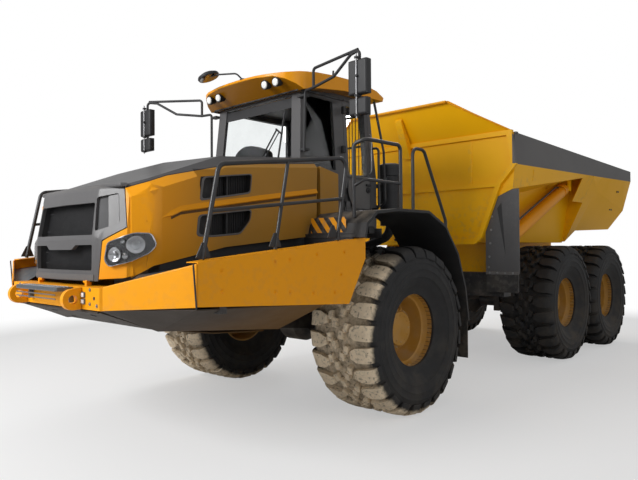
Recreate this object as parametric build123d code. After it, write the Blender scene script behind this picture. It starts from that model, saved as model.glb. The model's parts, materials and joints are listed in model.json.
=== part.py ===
"""Articulated six-wheel dump truck, in millimetres.

X points to the truck's left, Y to its rear and Z up.  Lengths along the truck are written from the
front axle (y = 0) and the ground (z = 0); save() moves every piece so that the origin lies on the
ground in the middle of the truck's length.
"""
import math
import os

from build123d import *

# --- driving dimensions ---------------------------------------------------------------------------
TYRE_DIAMETER = 1875.0
TYRE_WIDTH = 875.0
TRACK = 2915.0              # between the middles of a pair of tyres
MID_AXLE_Y = 4438.0
REAR_AXLE_Y = 6388.0
PIVOT_Y = 1558.0            # the steering pivot between the two halves
NOSE_Y = -3420.0            # tips of the tow lugs
TAIL_Y = 7976.0             # end of the chute
BED_FRONT_Y = 2560.0        # back of the headboard
BED_HALF = 1800.0           # half the bed's width
BED_TOP_FRONT = 3500.0
BED_TOP_REAR = 3400.0
BED_FLOOR_Z = 1930.0
BED_WALL = 16.0
BED_PIVOT_Y = 6950.0
BED_PIVOT_Z = 1800.0
CAB_FRONT_Y = -800.0
CAB_REAR_Y = 620.0
CAB_HALF = 800.0
CAB_BASE_Z = 2100.0
CAB_TOP_Z = 3750.0
CAB_WALL = 40.0
HOOD_WALL = 12.0
BODY_HALF = 1800.0          # half the width over the side panels
GUARD_HALF = 1900.0         # half the width over the front mudguards

# --- running gear ---------------------------------------------------------------------------------
AXLE_Z = TYRE_DIAMETER / 2
WHEEL_X = TRACK / 2
RIM_SEAT_R = 400.0
RIM_FLANGE_R = 457.0
RIM_HALF = 330.0            # half the rim's width
RIM_WALL = 25.0
FLANGE_WALL = 28.0
HUB_R = 230.0
STUB_R = 110.0
AXLE_TUBE_R = 130.0
RUN_GAP = 0.5               # clearance of a shaft in its bore, on the radius
SEAT_GAP = 0.3              # gap between a tyre and its rim
PASS_GAP = 6.0              # gap beside pieces that move past each other

# --- frames ---------------------------------------------------------------------------------------
RAIL_INNER = 340.0
RAIL_OUTER = 440.0
FRONT_RAIL_Z = (1130.0, 1400.0)
FRONT_RAIL_Y = (-3000.0, 1150.0)
HITCH_Z = 1050.0            # height of the oscillation axis
HITCH_HALF = 195.0          # half the height of the hitch's barrel
HITCH_R = 190.0
EAR_WALL = 60.0
EAR_R = 210.0
PIVOT_PIN_R = 80.0
HEAD_WALL = 90.0            # thickness of the block that closes the front frame
SWIVEL_R = 150.0            # shaft that lets the halves roll against each other
SWIVEL_Y = (1900.0, 2450.0)
SWIVEL_WALL = 70.0
NECK_WALL = 120.0
NECK_Z = (900.0, 1300.0)
REAR_RAIL_INNER = 380.0
REAR_RAIL_OUTER = 480.0
REAR_RAIL_END_Y = 7150.0
REAR_RAIL_TOP = 1400.0
BED_PIN_R = 45.0
CROSS_TUBE_R = 80.0         # tube through the walking beams
CROSS_TUBE_Z = 1000.0

# --- cylinders ------------------------------------------------------------------------------------
HOIST_X = 1500.0
HOIST_BASE = (2720.0, 1870.0)       # y, z of the lower pin
HOIST_TOP = (5200.0, 2900.0)        # y, z of the upper pin
HOIST_BEAM_Z = (1130.0, 1480.0)
HOIST_R = 100.0
HOIST_ROD_R = 55.0
HOIST_PIN_R = 40.0
HOIST_EYE_R = 70.0
HOIST_EYE_HALF = 55.0       # as thick as the rod, so that the rod passes between the lugs
STEER_BASE = (600.0, 408.0)         # x, y of the pin on the front frame
STEER_EYE = (500.0, 1858.0)         # x, y of the pin on the hitch
STEER_R = 60.0
STEER_ROD_R = 35.0
STEER_BARREL = 950.0        # from the base pin to the barrel's end
STEER_STROKE = 370.0        # each way from straight ahead
STEER_PIN_R = 30.0
STEER_EYE_R = 55.0
STEER_EYE_HALF = 45.0
CLEVIS_WALL = 25.0
BAR_R = 20.0                # handrail tube

# --- front body -----------------------------------------------------------------------------------
BEAM_HALF = 950.0           # half the bumper beam's width
BEAM_Z = (1350.0, 1540.0)
BEAM_REAR_Y = -3060.0
LUG_R = 90.0                # rounded tips of the tow lugs
LUG_BORE_R = 38.0
LUG_X = (545.0, 600.0)
HOOD_PIN_R = 14.0
HOOD_HINGE = (-3150.0, 1575.0)      # y, z
KNUCKLE_X = (430.0, 470.0)  # the mask's hinge knuckles
HOOD_FRONT_Y = -2960.0
HOOD_REAR_Y = -820.0
NOSE_PANEL_Y = -3190.0      # foremost line of the hood's mask
MASK_PLAN = [(590.0, -3150.0), (905.0, -2985.0)]    # x, y of the mask's two folds
GRILLE_HALF = 550.0
LAMP_Z = (1730.0, 1985.0)
LAMP_DEPTH = 18.0
VENT_Y = (-2380.0, -1790.0)         # the vents in the hood's sides
VENT_Z = [(1985.0, 2255.0), (2345.0, 2600.0)]
MASK_Z = (1600.0, 2400.0)
MASK_WALL = 38.0
GRILLE_Z = [(1700.0, 1915.0), (1990.0, 2270.0)]     # lower and upper grille openings
# y, half width at the bottom, its height, half width at the shoulder, its height, top corner, crown
HOOD_SECTIONS = [(HOOD_FRONT_Y, 905, 1615, 905, 2310, 790, 2425, 2450),
                 (-2800.0, 1010, 1715, 1020, 2375, 900, 2482, 2510),
                 (-2060.0, 1062, 1875, 1080, 2630, 960, 2750, 2785),
                 (HOOD_REAR_Y, 1075, 1995, 1095, 2740, 980, 2862, 2895)]
LADDER_X = (1150.0, 1600.0)
LADDER_Y = (1060.0, 1200.0)
LADDER_Z = [640.0, 950.0, 1260.0, 1570.0, 1850.0]
STEP_WALL = 25.0
STRINGER = 25.0
PANEL_WALL = 12.0
LEDGE = [(-2915.0, 1757.0), (-870.0, 1958.0)]     # y, z of the side panels' top edge
LEDGE_WIDTH = 150.0
DECK_WALL = 8.0
DECK_LINE = [(-3230.0, 1460.0), (-2915.0, 1640.0), (-1010.0, 1880.0), (-470.0, 1930.0)]
GUARD_INNER = 1110.0
GUARD_WALL = 30.0
GUARD_LINE = [(-1000.0, 1962.0), (-960.0, 2110.0), (-800.0, 2230.0), (-450.0, 2270.0), (160.0, 2270.0),
              (520.0, 2110.0), (800.0, 1780.0), (970.0, 1360.0), (1040.0, 960.0)]

# --- cab ------------------------------------------------------------------------------------------
CAB_WAIST_Z = 2750.0
CAB_TOP_HALF = 740.0
ROOF_OVERHANG = 100.0       # the roof beyond the cab's side
ROOF_RISE = 290.0
BROW_DROP = 90.0            # the brow's foot below the cab's top
BROW_REACH = 265.0          # the brow's lip ahead of the cab
GLASS_DEPTH = 14.0          # from the cab's outside to a pane
GLASS_WALL = 8.0
WINDOW_Z = (2800.0, 3640.0)
MIRROR_AT = {"left": (1745.0, -870.0), "right": (1770.0, -1170.0)}     # x outwards, y
DOOR_Y = (10.0, 500.0)
DOOR_Z = (2290.0, 3690.0)
DOOR_FRAME = 65.0           # from the door's edge to its pane
DOOR_GAP = 6.0
HINGE_R = 11.0
HINGE_PIN_R = 5.0
HINGE_LENGTH = 70.0
DOOR_HINGE = (CAB_HALF + HINGE_R + 5, DOOR_Y[0] - 8)    # x, y
DOOR_HINGE_Z = (2360.0, 2630.0)     # feet of the two hinges, where the cab's wall is upright

# --- bed ------------------------------------------------------------------------------------------
HEAD_DEPTH = 60.0           # raised frame of the headboard
HEAD_FRONT_Y = BED_FRONT_Y - HEAD_DEPTH
HEAD_LINE = [(1780.0, 3530.0), (1840.0, 3030.0), (1600.0, 2760.0), (1300.0, 2000.0), (1180.0, 1900.0)]
POCKET_END_Y = 5800.0       # the hoist's recess in the bed's sides ends here
KINK_Y = 6200.0
BAND_Z = (3050.0, 3200.0)   # bottom of the flat top band at the bed's front and rear
CREASE = [(1760.0, 2690.0), (1790.0, 3130.0)]       # x, z of the recess's outer fold, front and rear
POCKET = [(1400.0, 2540.0), (1400.0, 3110.0)]       # x, z of its inner corner, front and rear

ORIGIN_SHIFT = -(NOSE_Y + TAIL_Y) / 2


# --- helpers --------------------------------------------------------------------------------------
def save(name, shape):
    """Write one node, moved from the front axle's frame to the truck's own."""
    solids = [Pos(0, ORIGIN_SHIFT, 0) * solid for solid in shape.solids()]
    export_step(solids[0] if len(solids) == 1 else Compound(solids), f"parts/{name}.step")


def block(x, y, z):
    """Box between (low, high) pairs."""
    centre = [(low + high) / 2 for low, high in (x, y, z)]
    return Pos(*centre) * Box(*(high - low for low, high in (x, y, z)))


def prism(plane, points, length):
    """Closed outline on a plane, extruded along the plane's normal."""
    return extrude(plane * make_face(Polyline(*points, close=True)), length, dir=plane.z_dir)


def side_cut(points, x):
    """Outline of (y, z) points, extruded between x[0] and x[1]."""
    return prism(Plane.YZ.offset(x[0]), points, x[1] - x[0])


def front_cut(points, y):
    """Outline of (x, z) points, extruded between y[0] and y[1]."""
    return prism(Plane.XZ.offset(-y[1]), points, y[1] - y[0])


def plan_cut(points, z):
    """Outline of (x, y) points, extruded between z[0] and z[1]."""
    return prism(Plane.XY.offset(z[0]), points, z[1] - z[0])


def round_bar(start, end, radius):
    """Cylinder between two points."""
    start, end = Vector(*start), Vector(*end)
    low = (Align.CENTER, Align.CENTER, Align.MIN)
    return Plane(origin=start, z_dir=end - start) * Cylinder(radius, (end - start).length, align=low)


def cross_bar(radius, x, y, z):
    """Cylinder along X."""
    return round_bar((x[0], y, z), (x[1], y, z), radius)


def upright(x, y, low, high, radius):
    """Cylinder along Z."""
    return round_bar((x, y, low), (x, y, high), radius)


def tube_path(points, bend, radius=BAR_R):
    """Round tube along straight runs that are joined by tangent arcs."""
    path = FilletPolyline(*points, radius=bend)
    return sweep(Plane(origin=path @ 0, z_dir=path % 0) * Circle(radius), path=path)


def mirrored(shape):
    """The same shape on the other side of the truck."""
    return mirror(shape, about=Plane.YZ)


def pair(shape):
    """A left piece and its right twin, as one node."""
    return Compound([*shape.solids(), *mirrored(shape).solids()])


def half_outline(points):
    """Close a right-hand half outline of (x, z) points over the middle plane."""
    return points + [(-x, z) for x, z in reversed(points) if x > 0]


def thickened(points, wall):
    """Turn an open outline into a closed strip, wall thick, to the right of its direction."""
    inner = []
    for i, (u, v) in enumerate(points):
        before = points[max(i - 1, 0)]
        after = points[min(i + 1, len(points) - 1)]
        a = (u - before[0], v - before[1]) if i > 0 else (after[0] - u, after[1] - v)
        b = (after[0] - u, after[1] - v) if i < len(points) - 1 else a
        a, b = ([c / math.hypot(*p) for c in p] for p in (a, b))
        normal = (a[1] + b[1], -a[0] - b[0])
        scale = wall / (1 + a[0] * b[0] + a[1] * b[1])
        inner.append((u + normal[0] * scale, v + normal[1] * scale))
    return points + inner[::-1]


def ruled(sections):
    """Loft between flat (x, z) outlines, given as (y, points) pairs."""
    faces = [Plane.XZ.offset(-y) * make_face(Polyline(*points, close=True)) for y, points in sections]
    return loft(faces, ruled=True)


def revolved(points, x, side=1):
    """Turn an outline of (outboard, radius) points about a wheel's axis."""
    outline = [(x + side * u, r) for u, r in points]
    face = make_face(Polyline(*outline, close=True))
    return revolve(face, Axis.X)


# --- wheels ---------------------------------------------------------------------------------------
AXLES = [("front", 0.0), ("mid", MID_AXLE_Y), ("rear", REAR_AXLE_Y)]
SIDES = [("left", 1), ("right", -1)]


def tyre(side):
    half, crown = TYRE_WIDTH / 2, TYRE_DIAMETER / 2
    bead = RIM_SEAT_R + SEAT_GAP
    toe = RIM_HALF - FLANGE_WALL - SEAT_GAP
    lip = RIM_FLANGE_R + 3
    outer = [(toe, bead), (toe, lip), (0.85 * half, lip + 25), (half, 0.72 * crown),
             (0.985 * half, 0.86 * crown), (0.90 * half, 0.965 * crown), (0.72 * half, crown)]
    return revolved(outer + [(-u, r) for u, r in reversed(outer)], side * WHEEL_X, side)


def rim(side):
    band = [(-RIM_HALF, RIM_SEAT_R - RIM_WALL), (-RIM_HALF, RIM_FLANGE_R),
            (-RIM_HALF + FLANGE_WALL, RIM_FLANGE_R), (-RIM_HALF + FLANGE_WALL, RIM_SEAT_R),
            (RIM_HALF - FLANGE_WALL, RIM_SEAT_R), (RIM_HALF - FLANGE_WALL, RIM_FLANGE_R),
            (RIM_HALF, RIM_FLANGE_R), (RIM_HALF, RIM_SEAT_R - RIM_WALL)]
    bore = STUB_R + RUN_GAP
    disc = [(-60, HUB_R - 10), (-60, RIM_SEAT_R - RIM_WALL + 1), (-25, RIM_SEAT_R - RIM_WALL + 1),
            (-25, HUB_R - 10)]
    drum = [(-260, bore), (-260, HUB_R), (110, HUB_R), (150, 0.78 * HUB_R), (150, 0), (40, 0),
            (40, bore)]
    x = side * WHEEL_X
    return revolved(band, x, side) + revolved(disc, x, side) + revolved(drum, x, side)


def save_wheels():
    for axle, y in AXLES:
        for name, side in SIDES:
            place = Pos(0, y, AXLE_Z)
            save(f"tyre_{axle}_{name}", place * tyre(side))
            save(f"rim_{axle}_{name}", place * rim(side))


# --- front frame ----------------------------------------------------------------------------------
def axle_beam():
    """Axle tube with its differential and the stubs that carry the hubs."""
    inner_hub = WHEEL_X - 262
    tube = cross_bar(AXLE_TUBE_R, (-inner_hub, inner_hub), 0, 0)
    stubs = cross_bar(STUB_R, (-WHEEL_X - 38, WHEEL_X + 38), 0, 0)
    bulge = [(-260, 0), (-260, AXLE_TUBE_R + 20), (-130, 270), (130, 270), (260, AXLE_TUBE_R + 20),
             (260, 0)]
    return tube + stubs + revolved(bulge, 0)


def front_axle():
    """Axle beam on two leading arms and two suspension struts."""
    shape = Pos(0, 0, AXLE_Z) * axle_beam()
    arm = [(-1350, 1010), (-1350, 1120), (-60, 1040), (60, 1000), (60, 860), (-60, 860)]
    shape += side_cut(arm, (560, 640)) + side_cut(arm, (-640, -560))
    for side in (1, -1):
        shape += round_bar((side * 720, 0, AXLE_Z), (side * 720, 0, 1560), 75)
        shape += block(sorted((side * 560, side * 470)), (-1350, -1270), (1030, 1110))
    return shape


def front_rail():
    """Left rail with its outriggers, strut tower, arm lug and the steering cylinder's bracket."""
    low, high = FRONT_RAIL_Z
    front, rear = FRONT_RAIL_Y[0], FRONT_RAIL_Y[1] - HEAD_WALL
    rail = (RAIL_INNER, RAIL_OUTER)
    shape = side_cut([(front, low + 140), (front + 320, low), (rear, low), (rear, high), (front, high)],
                     rail)
    for y in (-2700.0, -1250.0):
        shape += block((RAIL_OUTER, BODY_HALF - 12), (y, y + 70), (1340, 1400))
    # strut tower over the axle, and the lug for its leading arm
    shape += block((RAIL_OUTER, 820), (-100, 100), (1560, 1640))
    shape += block((RAIL_OUTER, 500), (-100, 100), (high - 60, 1640))
    shape += block((390, RAIL_OUTER), (-1360, -1260), (1020, low + 1))
    # bracket of the steering cylinder
    x, y = STEER_BASE
    gap = STEER_EYE_HALF + PASS_GAP
    bottom = HITCH_Z - gap - CLEVIS_WALL
    for z in ((HITCH_Z + gap, HITCH_Z + gap + CLEVIS_WALL), (bottom, HITCH_Z - gap)):
        shape += block((RAIL_OUTER, x + 60), (y - 60, y + 60), z)
    shape += block(rail, (y - 60, y + 60), (bottom, low + 1))
    shape += block((RAIL_OUTER - 1, RAIL_OUTER + 30), (y - 60, y + 60), (bottom, low + 40))
    return shape + upright(x, y, HITCH_Z - gap - 5, HITCH_Z + gap + 5, STEER_PIN_R)


def front_crossmembers():
    """Front beam and the two cross members that join the rails."""
    low, high = FRONT_RAIL_Z
    shape = block((-RAIL_OUTER, RAIL_OUTER), (BEAM_REAR_Y, FRONT_RAIL_Y[0]), (low + 150, high + 20))
    for y in ((-1000, -900), (330, 480)):
        shape += block((-RAIL_INNER, RAIL_INNER), y, FRONT_RAIL_Z)
    return shape


def front_head():
    """Rear head block of the front frame with the two ears of the steering pivot."""
    low, high = FRONT_RAIL_Z
    rear = FRONT_RAIL_Y[1]
    top, bottom = HITCH_Z + HITCH_HALF + PASS_GAP, HITCH_Z - HITCH_HALF - PASS_GAP
    shape = block((-RAIL_OUTER, RAIL_OUTER), (rear - HEAD_WALL, rear), (low, high))
    shape += block((-250, 250), (rear - HEAD_WALL - 60, rear), (bottom - EAR_WALL, high))
    for z in (top, bottom - EAR_WALL):
        ear = block((-EAR_R, EAR_R), (rear - 50, PIVOT_Y), (z, z + EAR_WALL))
        ear += Pos(0, PIVOT_Y, z + EAR_WALL / 2) * Cylinder(EAR_R, EAR_WALL)
        shape += ear - Pos(0, PIVOT_Y, z + EAR_WALL / 2) * Cylinder(PIVOT_PIN_R + RUN_GAP, 3 * EAR_WALL)
    return shape


def cab_subframe():
    """Posts on the rails and the beams that carry the cab and the mudguards."""
    foot, beam = FRONT_RAIL_Z[1], CAB_BASE_Z - 120
    shape = block((-1400, 1400), (-300, -200), (CAB_BASE_Z - 80, CAB_BASE_Z))
    for y in (-560.0, 380.0):
        shape += block((-1000, 1000), (y, y + 90), (beam, CAB_BASE_Z))
        shape += pair(block((RAIL_INNER, RAIL_OUTER), (y, y + 90), (foot, beam + 10)))
    shape += pair(block((910, 1000), (-560, 470), (beam, CAB_BASE_Z)))
    shape += pair(block((1100, 1300), (-300, -200), (CAB_BASE_Z - 20, GUARD_LINE[3][1] - GUARD_WALL)))
    return shape + block((-RAIL_INNER, RAIL_INNER), (-560, -470), (beam - 80, beam + 10))


def engine_block():
    """Engine and gearbox as one plain block between the rails."""
    half = RAIL_INNER - SEAT_GAP
    return block((-half, half), (-2450, -1010), (1140, 1880))


def bumper():
    """Front beam with the two tow lugs and the ears of the hood's hinge."""
    beam = plan_cut([(-BEAM_HALF, BEAM_REAR_Y), (-BEAM_HALF, -3200), (-900, -3250), (900, -3250),
                     (BEAM_HALF, -3200), (BEAM_HALF, BEAM_REAR_Y)], BEAM_Z)
    tip_y, tip_z = NOSE_Y + LUG_R, sum(BEAM_Z) / 2 - 10
    for side in (1, -1):
        x = sorted(side * v for v in LUG_X)
        lug = side_cut([(-3255, BEAM_Z[0]), (-3255, BEAM_Z[1] - 2), (tip_y, tip_z + LUG_R),
                        (tip_y, tip_z - LUG_R)], x)
        lug += cross_bar(LUG_R, x, tip_y, tip_z)
        beam += lug - cross_bar(LUG_BORE_R, (x[0] - 5, x[1] + 5), tip_y, tip_z)
        y, z = HOOD_HINGE
        near, far = KNUCKLE_X[1] + PASS_GAP, KNUCKLE_X[1] + 40
        x = sorted((side * near, side * far))
        ear = block(x, (y - 18, y + 30), (BEAM_Z[1] - 10, z)) + cross_bar(18, x, y, z)
        pin = sorted((side * (KNUCKLE_X[0] + 4), side * (far - 10)))
        beam += ear + cross_bar(HOOD_PIN_R, pin, y, z)
    return beam


def front_step():
    """Mesh step between the tow lugs, on two arms from the bumper."""
    step = block((-440, 440), (-3400, -3256), (1500, 1535))
    for x in ((-440, -400), (400, 440)):
        step += block(x, (-3290, -3250), (1400, 1510))
    return step


def belly_guard():
    """Sloping pan under the engine."""
    line = [(-3240, 1338), (-2600, 1050), (-1400, 1000)]
    pan = side_cut(thickened(line, 12), (-850, 850))
    pan += block((-850, 850), (-3240, -3225), (1325, 1350))
    for x in ((-430, -400), (400, 430)):
        pan += block(x, (-1500, -1420), (992, FRONT_RAIL_Z[0]))
    return pan


# --- panels ---------------------------------------------------------------------------------------
def corner_panel():
    rear = LEDGE[0][0]
    plan = plan_cut([(951, -3250), (BODY_HALF, rear - 15), (BODY_HALF, rear), (951, -3236)], (1300, 1800))
    side = side_cut([(-3260, 1352), (-3260, 1540), (-2900, 1757), (-2900, 1412)], (900, 1900))
    return plan & side


def ledge_z(y):
    (y0, z0), (y1, z1) = LEDGE
    return z0 + (z1 - z0) * (y - y0) / (y1 - y0)


def side_panel():
    """Upright skin with a ledge along its top."""
    outline = [(LEDGE[0][0], 1412), *LEDGE, (LEDGE[1][0], 1750), (-1130, 1310)]
    ledge = side_cut(thickened(LEDGE, 8), (BODY_HALF - LEDGE_WIDTH, BODY_HALF))
    return side_cut(outline, (BODY_HALF - PANEL_WALL, BODY_HALF)) + ledge


def deck():
    """Walkway between the hood and the side panels."""
    plate = side_cut(thickened(DECK_LINE, DECK_WALL), (900, 1900))
    edge = BODY_HALF - PANEL_WALL - SEAT_GAP
    plan = plan_cut([(955, -3228), (edge, -2914), (edge, -1012), (GUARD_INNER - 10, -1012),
                     (GUARD_INNER - 10, -472), (955, -472)], (1400, 2000))
    return plate & plan


def guard_foot(y):
    """Height at which a rail's flat foot rests on the mudguard at y."""
    for (y0, z0), (y1, z1) in zip(GUARD_LINE, GUARD_LINE[1:]):
        if y0 <= y <= y1:
            slope = (z1 - z0) / (y1 - y0)
            return z0 + slope * (y - y0) + abs(slope) * BAR_R


def mudguard():
    """Arch over a front wheel with its rear flap."""
    arch = side_cut(thickened(GUARD_LINE, GUARD_WALL), (GUARD_INNER, GUARD_HALF))
    return arch + block((GUARD_INNER + 30, GUARD_HALF - 20), (1015, 1030), (500, 1010))


def side_handrail():
    """Walkway rail: a bent tube, a middle post and a middle rail."""
    x = BODY_HALF - 90
    rise = 0.33 * BAR_R         # keeps the slanted tube's foot just above the ledge
    foot = [(y, ledge_z(y) + rise) for y in (-2810, -2030, -1200)]
    top = [(-2640, 2545), (-1860, 2660), (-1040, 2760)]
    rail = tube_path([(x, *foot[0]), (x, *top[0]), (x, *top[2]), (x, *foot[2])], 90)
    rail += round_bar((x, *foot[1]), (x, *top[1]), BAR_R - 3)
    middle = [((a[0] + b[0]) / 2, (a[1] + b[1]) / 2) for a, b in zip(foot, top)]
    return rail + round_bar((x, *middle[0]), (x, *middle[2]), BAR_R - 4)


def landing_rail():
    """Rail round the front and outer side of the mudguard's flat top, with its middle rail."""
    x, outer, y = 1680, GUARD_HALF - 85, -900
    top = GUARD_LINE[3][1]
    rail = tube_path([(x, y, guard_foot(y)), (x, y, 2920), (outer, y + 20, 2960), (outer, -270, 2965),
                      (outer, -270, top)], 60)
    middle = tube_path([(x, y, 2490), (outer - 2, y + 18, 2550), (outer - 2, -270, 2550)], 40, BAR_R - 4)
    return rail + middle


def ladder_rail():
    """Grab rail that arches from the mudguard down to the ladder's top."""
    x, front = 1520, 400
    low = (x, LADDER_Y[0] + 70, LADDER_Z[-1] + STEP_WALL)
    return tube_path([(x, front, guard_foot(front)), (x, front, 3050), (x, front + 240, 3050),
                      (x, low[1], 2200), low], 95)


def ladder():
    """Steps behind the left front wheel, hung from the frame."""
    (front, rear), (inner, outer) = LADDER_Y, LADDER_X
    shape = block((inner, inner + STRINGER), LADDER_Y, (LADDER_Z[0] - 20, LADDER_Z[-1] + STEP_WALL))
    shape += block((outer - STRINGER, outer), LADDER_Y, (LADDER_Z[0] - 20, LADDER_Z[-1] + STEP_WALL))
    for z in LADDER_Z:
        shape += block(LADDER_X, LADDER_Y, (z, z + STEP_WALL))
    for z in (1180, 1340):
        shape += block((RAIL_OUTER, inner + 10), (front + 20, rear - 60), (z, z + 50))
    return shape


# --- cab ------------------------------------------------------------------------------------------
def cab_form(inset):
    """The cab's outside, or a smaller copy that lies inset within it."""
    levels = [(CAB_BASE_Z + inset, CAB_HALF, CAB_FRONT_Y, CAB_REAR_Y),
              (CAB_WAIST_Z, CAB_HALF, CAB_FRONT_Y + 10, CAB_REAR_Y),
              (CAB_TOP_Z - inset, CAB_TOP_HALF, CAB_FRONT_Y + 90, CAB_REAR_Y - 70)]
    faces = []
    for z, half, front, rear in levels:
        x, y = half - inset, (front + inset, rear - inset)
        faces.append(Plane.XY.offset(z) * make_face(Polyline((-x, y[0]), (x, y[0]), (x, y[1]),
                                                            (-x, y[1]), close=True)))
    return loft(faces, ruled=True)


def window_cuts():
    """Windscreen, the left quarter's, right side's and rear windows."""
    low, high = WINDOW_Z
    front = front_cut([(-650, low), (650, low), (600, high), (-600, high)], (-900, -600))
    pillar = DOOR_Y[0] - 180
    side = (CAB_HALF - 200, CAB_HALF + 100)
    quarter = side_cut([(-700, low), (pillar, low), (pillar, high), (-650, high)], side)
    right = side_cut([(-700, low), (520, low), (480, high), (-650, high)], (-side[1], -side[0]))
    rear = front_cut([(-620, low), (620, low), (580, high), (-580, high)], (400, 800))
    return [front, quarter, right, rear]


def door_prism(gap):
    """The door's opening, or the smaller block that the door fills."""
    (front, rear), (low, high) = DOOR_Y, DOOR_Z
    return block((CAB_HALF - 300, CAB_HALF + 100), (front + gap, rear - gap), (low + gap, high - gap))


def door_window():
    (front, rear), (low, high) = DOOR_Y, DOOR_Z
    return block((CAB_HALF - 300, CAB_HALF + 100), (front + DOOR_FRAME, rear - DOOR_FRAME),
                 (low + 480, high - DOOR_FRAME))


def cab_pieces():
    """Shell, panes, door and door pane, cut from the same form."""
    shell = cab_form(0) - cab_form(CAB_WALL)
    panes = cab_form(GLASS_DEPTH) - cab_form(GLASS_DEPTH + GLASS_WALL)
    cuts = window_cuts()
    glass = [solid for cut in cuts for solid in (panes & cut).solids()]
    door = (shell & door_prism(DOOR_GAP)) - door_window()
    door_pane = panes & door_window()
    body = shell - door_prism(0)
    x, y = DOOR_HINGE
    edge = DOOR_Y[0] + DOOR_GAP
    for z in DOOR_HINGE_Z:
        door += block((CAB_HALF, x + HINGE_R), (edge, edge + 45), (z, z + HINGE_LENGTH))
        door += block((CAB_HALF + 3, x + HINGE_R), (y, edge + 1), (z, z + HINGE_LENGTH))
        door += upright(x, y, z, z + HINGE_LENGTH, HINGE_R)
        door -= upright(x, y, z - 1, z + HINGE_LENGTH + 1, HINGE_PIN_R + RUN_GAP)
        knuckle = upright(x, y, z - 41, z - 1, HINGE_R)
        knuckle += block((CAB_HALF, x), (y - 30, y), (z - 41, z - 1))
        body += knuckle + upright(x, y, z - 20, z + HINGE_LENGTH, HINGE_PIN_R)
    for cut in cuts:
        body -= cut
    return body, Compound(glass), door, door_pane


def cab_roof():
    """Overhanging roof whose brow hangs in front of the windscreen."""
    y0, y1, z0 = CAB_FRONT_Y, CAB_REAR_Y, CAB_TOP_Z
    edge, top, low = CAB_HALF + ROOF_OVERHANG, z0 + ROOF_RISE, z0 - BROW_DROP
    lip = y0 - BROW_REACH
    side = side_cut([(y0 + 10, low), (lip, z0 + 90), (lip, z0 + 115), (y0 - 60, z0 + 190),
                     (y0 + 250, top - 35), (y0 + 500, top), (y1 - 300, top - 10), (y1 + 10, z0 + 180),
                     (y1 + 50, z0 + 60), (y1 + 30, z0), (y0 + 60, z0), (y0 + 40, low)], (-edge, edge))
    outline = half_outline([(edge - 20, low), (edge, z0 + 30), (edge, z0 + 100), (edge - 180, z0 + 220),
                            (edge - 550, top - 5), (0, top)])
    plan = [(edge, y1 + 60), (edge, y0 + 180), (edge - 20, y0 + 40), (edge - 140, y0 - 150),
            (edge - 340, lip + 25), (0, lip)]
    roof = side & front_cut(outline, (lip - 50, y1 + 200))
    return roof & plan_cut(half_outline(plan), (low - 10, top + 10))


def seat():
    """Driver's seat on its base."""
    floor = CAB_BASE_Z + CAB_WALL
    shape = block((-200, 200), (20, 380), (floor, floor + 260))
    shape += block((-260, 260), (-60, 440), (floor + 250, floor + 400))
    back = [(380, floor + 380), (440, floor + 380), (540, floor + 980), (420, floor + 980)]
    return shape + side_cut(back, (-250, 250))


def dash_console():
    """Dashboard with the steering column and wheel."""
    floor = CAB_BASE_Z + CAB_WALL
    shape = block((-620, 620), (-740, -560), (floor, floor + 560))
    centre = (0, -380, floor + 640)
    shape += round_bar((0, -570, floor + 380), centre, 35)
    wheel = Pos(*centre) * Rot(-35, 0, 0) * Torus(205, 16)
    spokes = Pos(*centre) * Rot(-35, 0, 0) * Box(410, 40, 18)
    return shape + wheel + spokes


def cowl():
    """Fixed panel between the hood and the cab door, on each side."""
    outer, front, rear = GUARD_INNER - PANEL_WALL, HOOD_REAR_Y + 45, DECK_LINE[-1][0]
    foot, high, low = 1990, 2760, 2700
    wall = 15
    outline = [(front, foot), (front, high), (rear, low), (rear, foot + 130), (rear - 70, foot)]
    skin = side_cut(outline, (outer - wall, outer))
    top = side_cut([(front, high - wall), (front, high), (rear, low), (rear, low - wall)],
                   (CAB_HALF, outer))
    return skin + top + block((CAB_HALF, outer), (front, front + wall), (CAB_BASE_Z, high - 10))


def air_cleaner():
    """Upright intake housing on two brackets behind the cab."""
    x, y = 850, CAB_REAR_Y + 230
    shape = upright(x, y, 2150, 2800, 130) + upright(x, y, 2799, 2900, 150)
    for z in (2300, 2650):
        shape += block((CAB_HALF - 100, CAB_HALF - 10), (CAB_REAR_Y, y), (z, z + 40))
    return shape


def mirror_set(x, y):
    """Main and wide-angle mirrors at x, y, on a tube frame beside the cab's front pillar."""
    root, elbow = (CAB_HALF + 65, CAB_FRONT_Y + 35), (CAB_HALF + 230, CAB_FRONT_Y)
    z, radius = CAB_TOP_Z - BROW_DROP - 20, BAR_R - 4

    def out(share, rise):
        return (elbow[0] + share * (x - elbow[0]), elbow[1] + share * (y - elbow[1]), z + rise)

    frame = tube_path([(root[0] - 10, root[1] - 10, z - 690), (*root, z), out(0, 0), out(0.46, 50),
                       out(0.82, 220), out(1, 240), out(1, -300)], 40, radius)
    frame += tube_path([out(0, 0), out(0, 210), out(0.97, 250)], 40, radius)
    for low in (z - 670, z - 60):
        inner = CAB_HALF - (CAB_HALF - CAB_TOP_HALF) * (low - CAB_WAIST_Z) / (CAB_TOP_Z - CAB_WAIST_Z)
        frame += block((inner + SEAT_GAP, root[0]), (root[1] - 15, root[1] + 70), (low, low + 25))
    frame += block((x - 120, x + 120), (y - 35, y + 35), (z - 220, z + 130))
    return frame + block((x - 115, x + 115), (y - 30, y + 30), (z - 430, z - 260))


def mirrors():
    """A set on each side; the right one is swung further forward."""
    return Compound([*mirror_set(*MIRROR_AT["left"]).solids(),
                     *mirrored(mirror_set(*MIRROR_AT["right"])).solids()])


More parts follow.
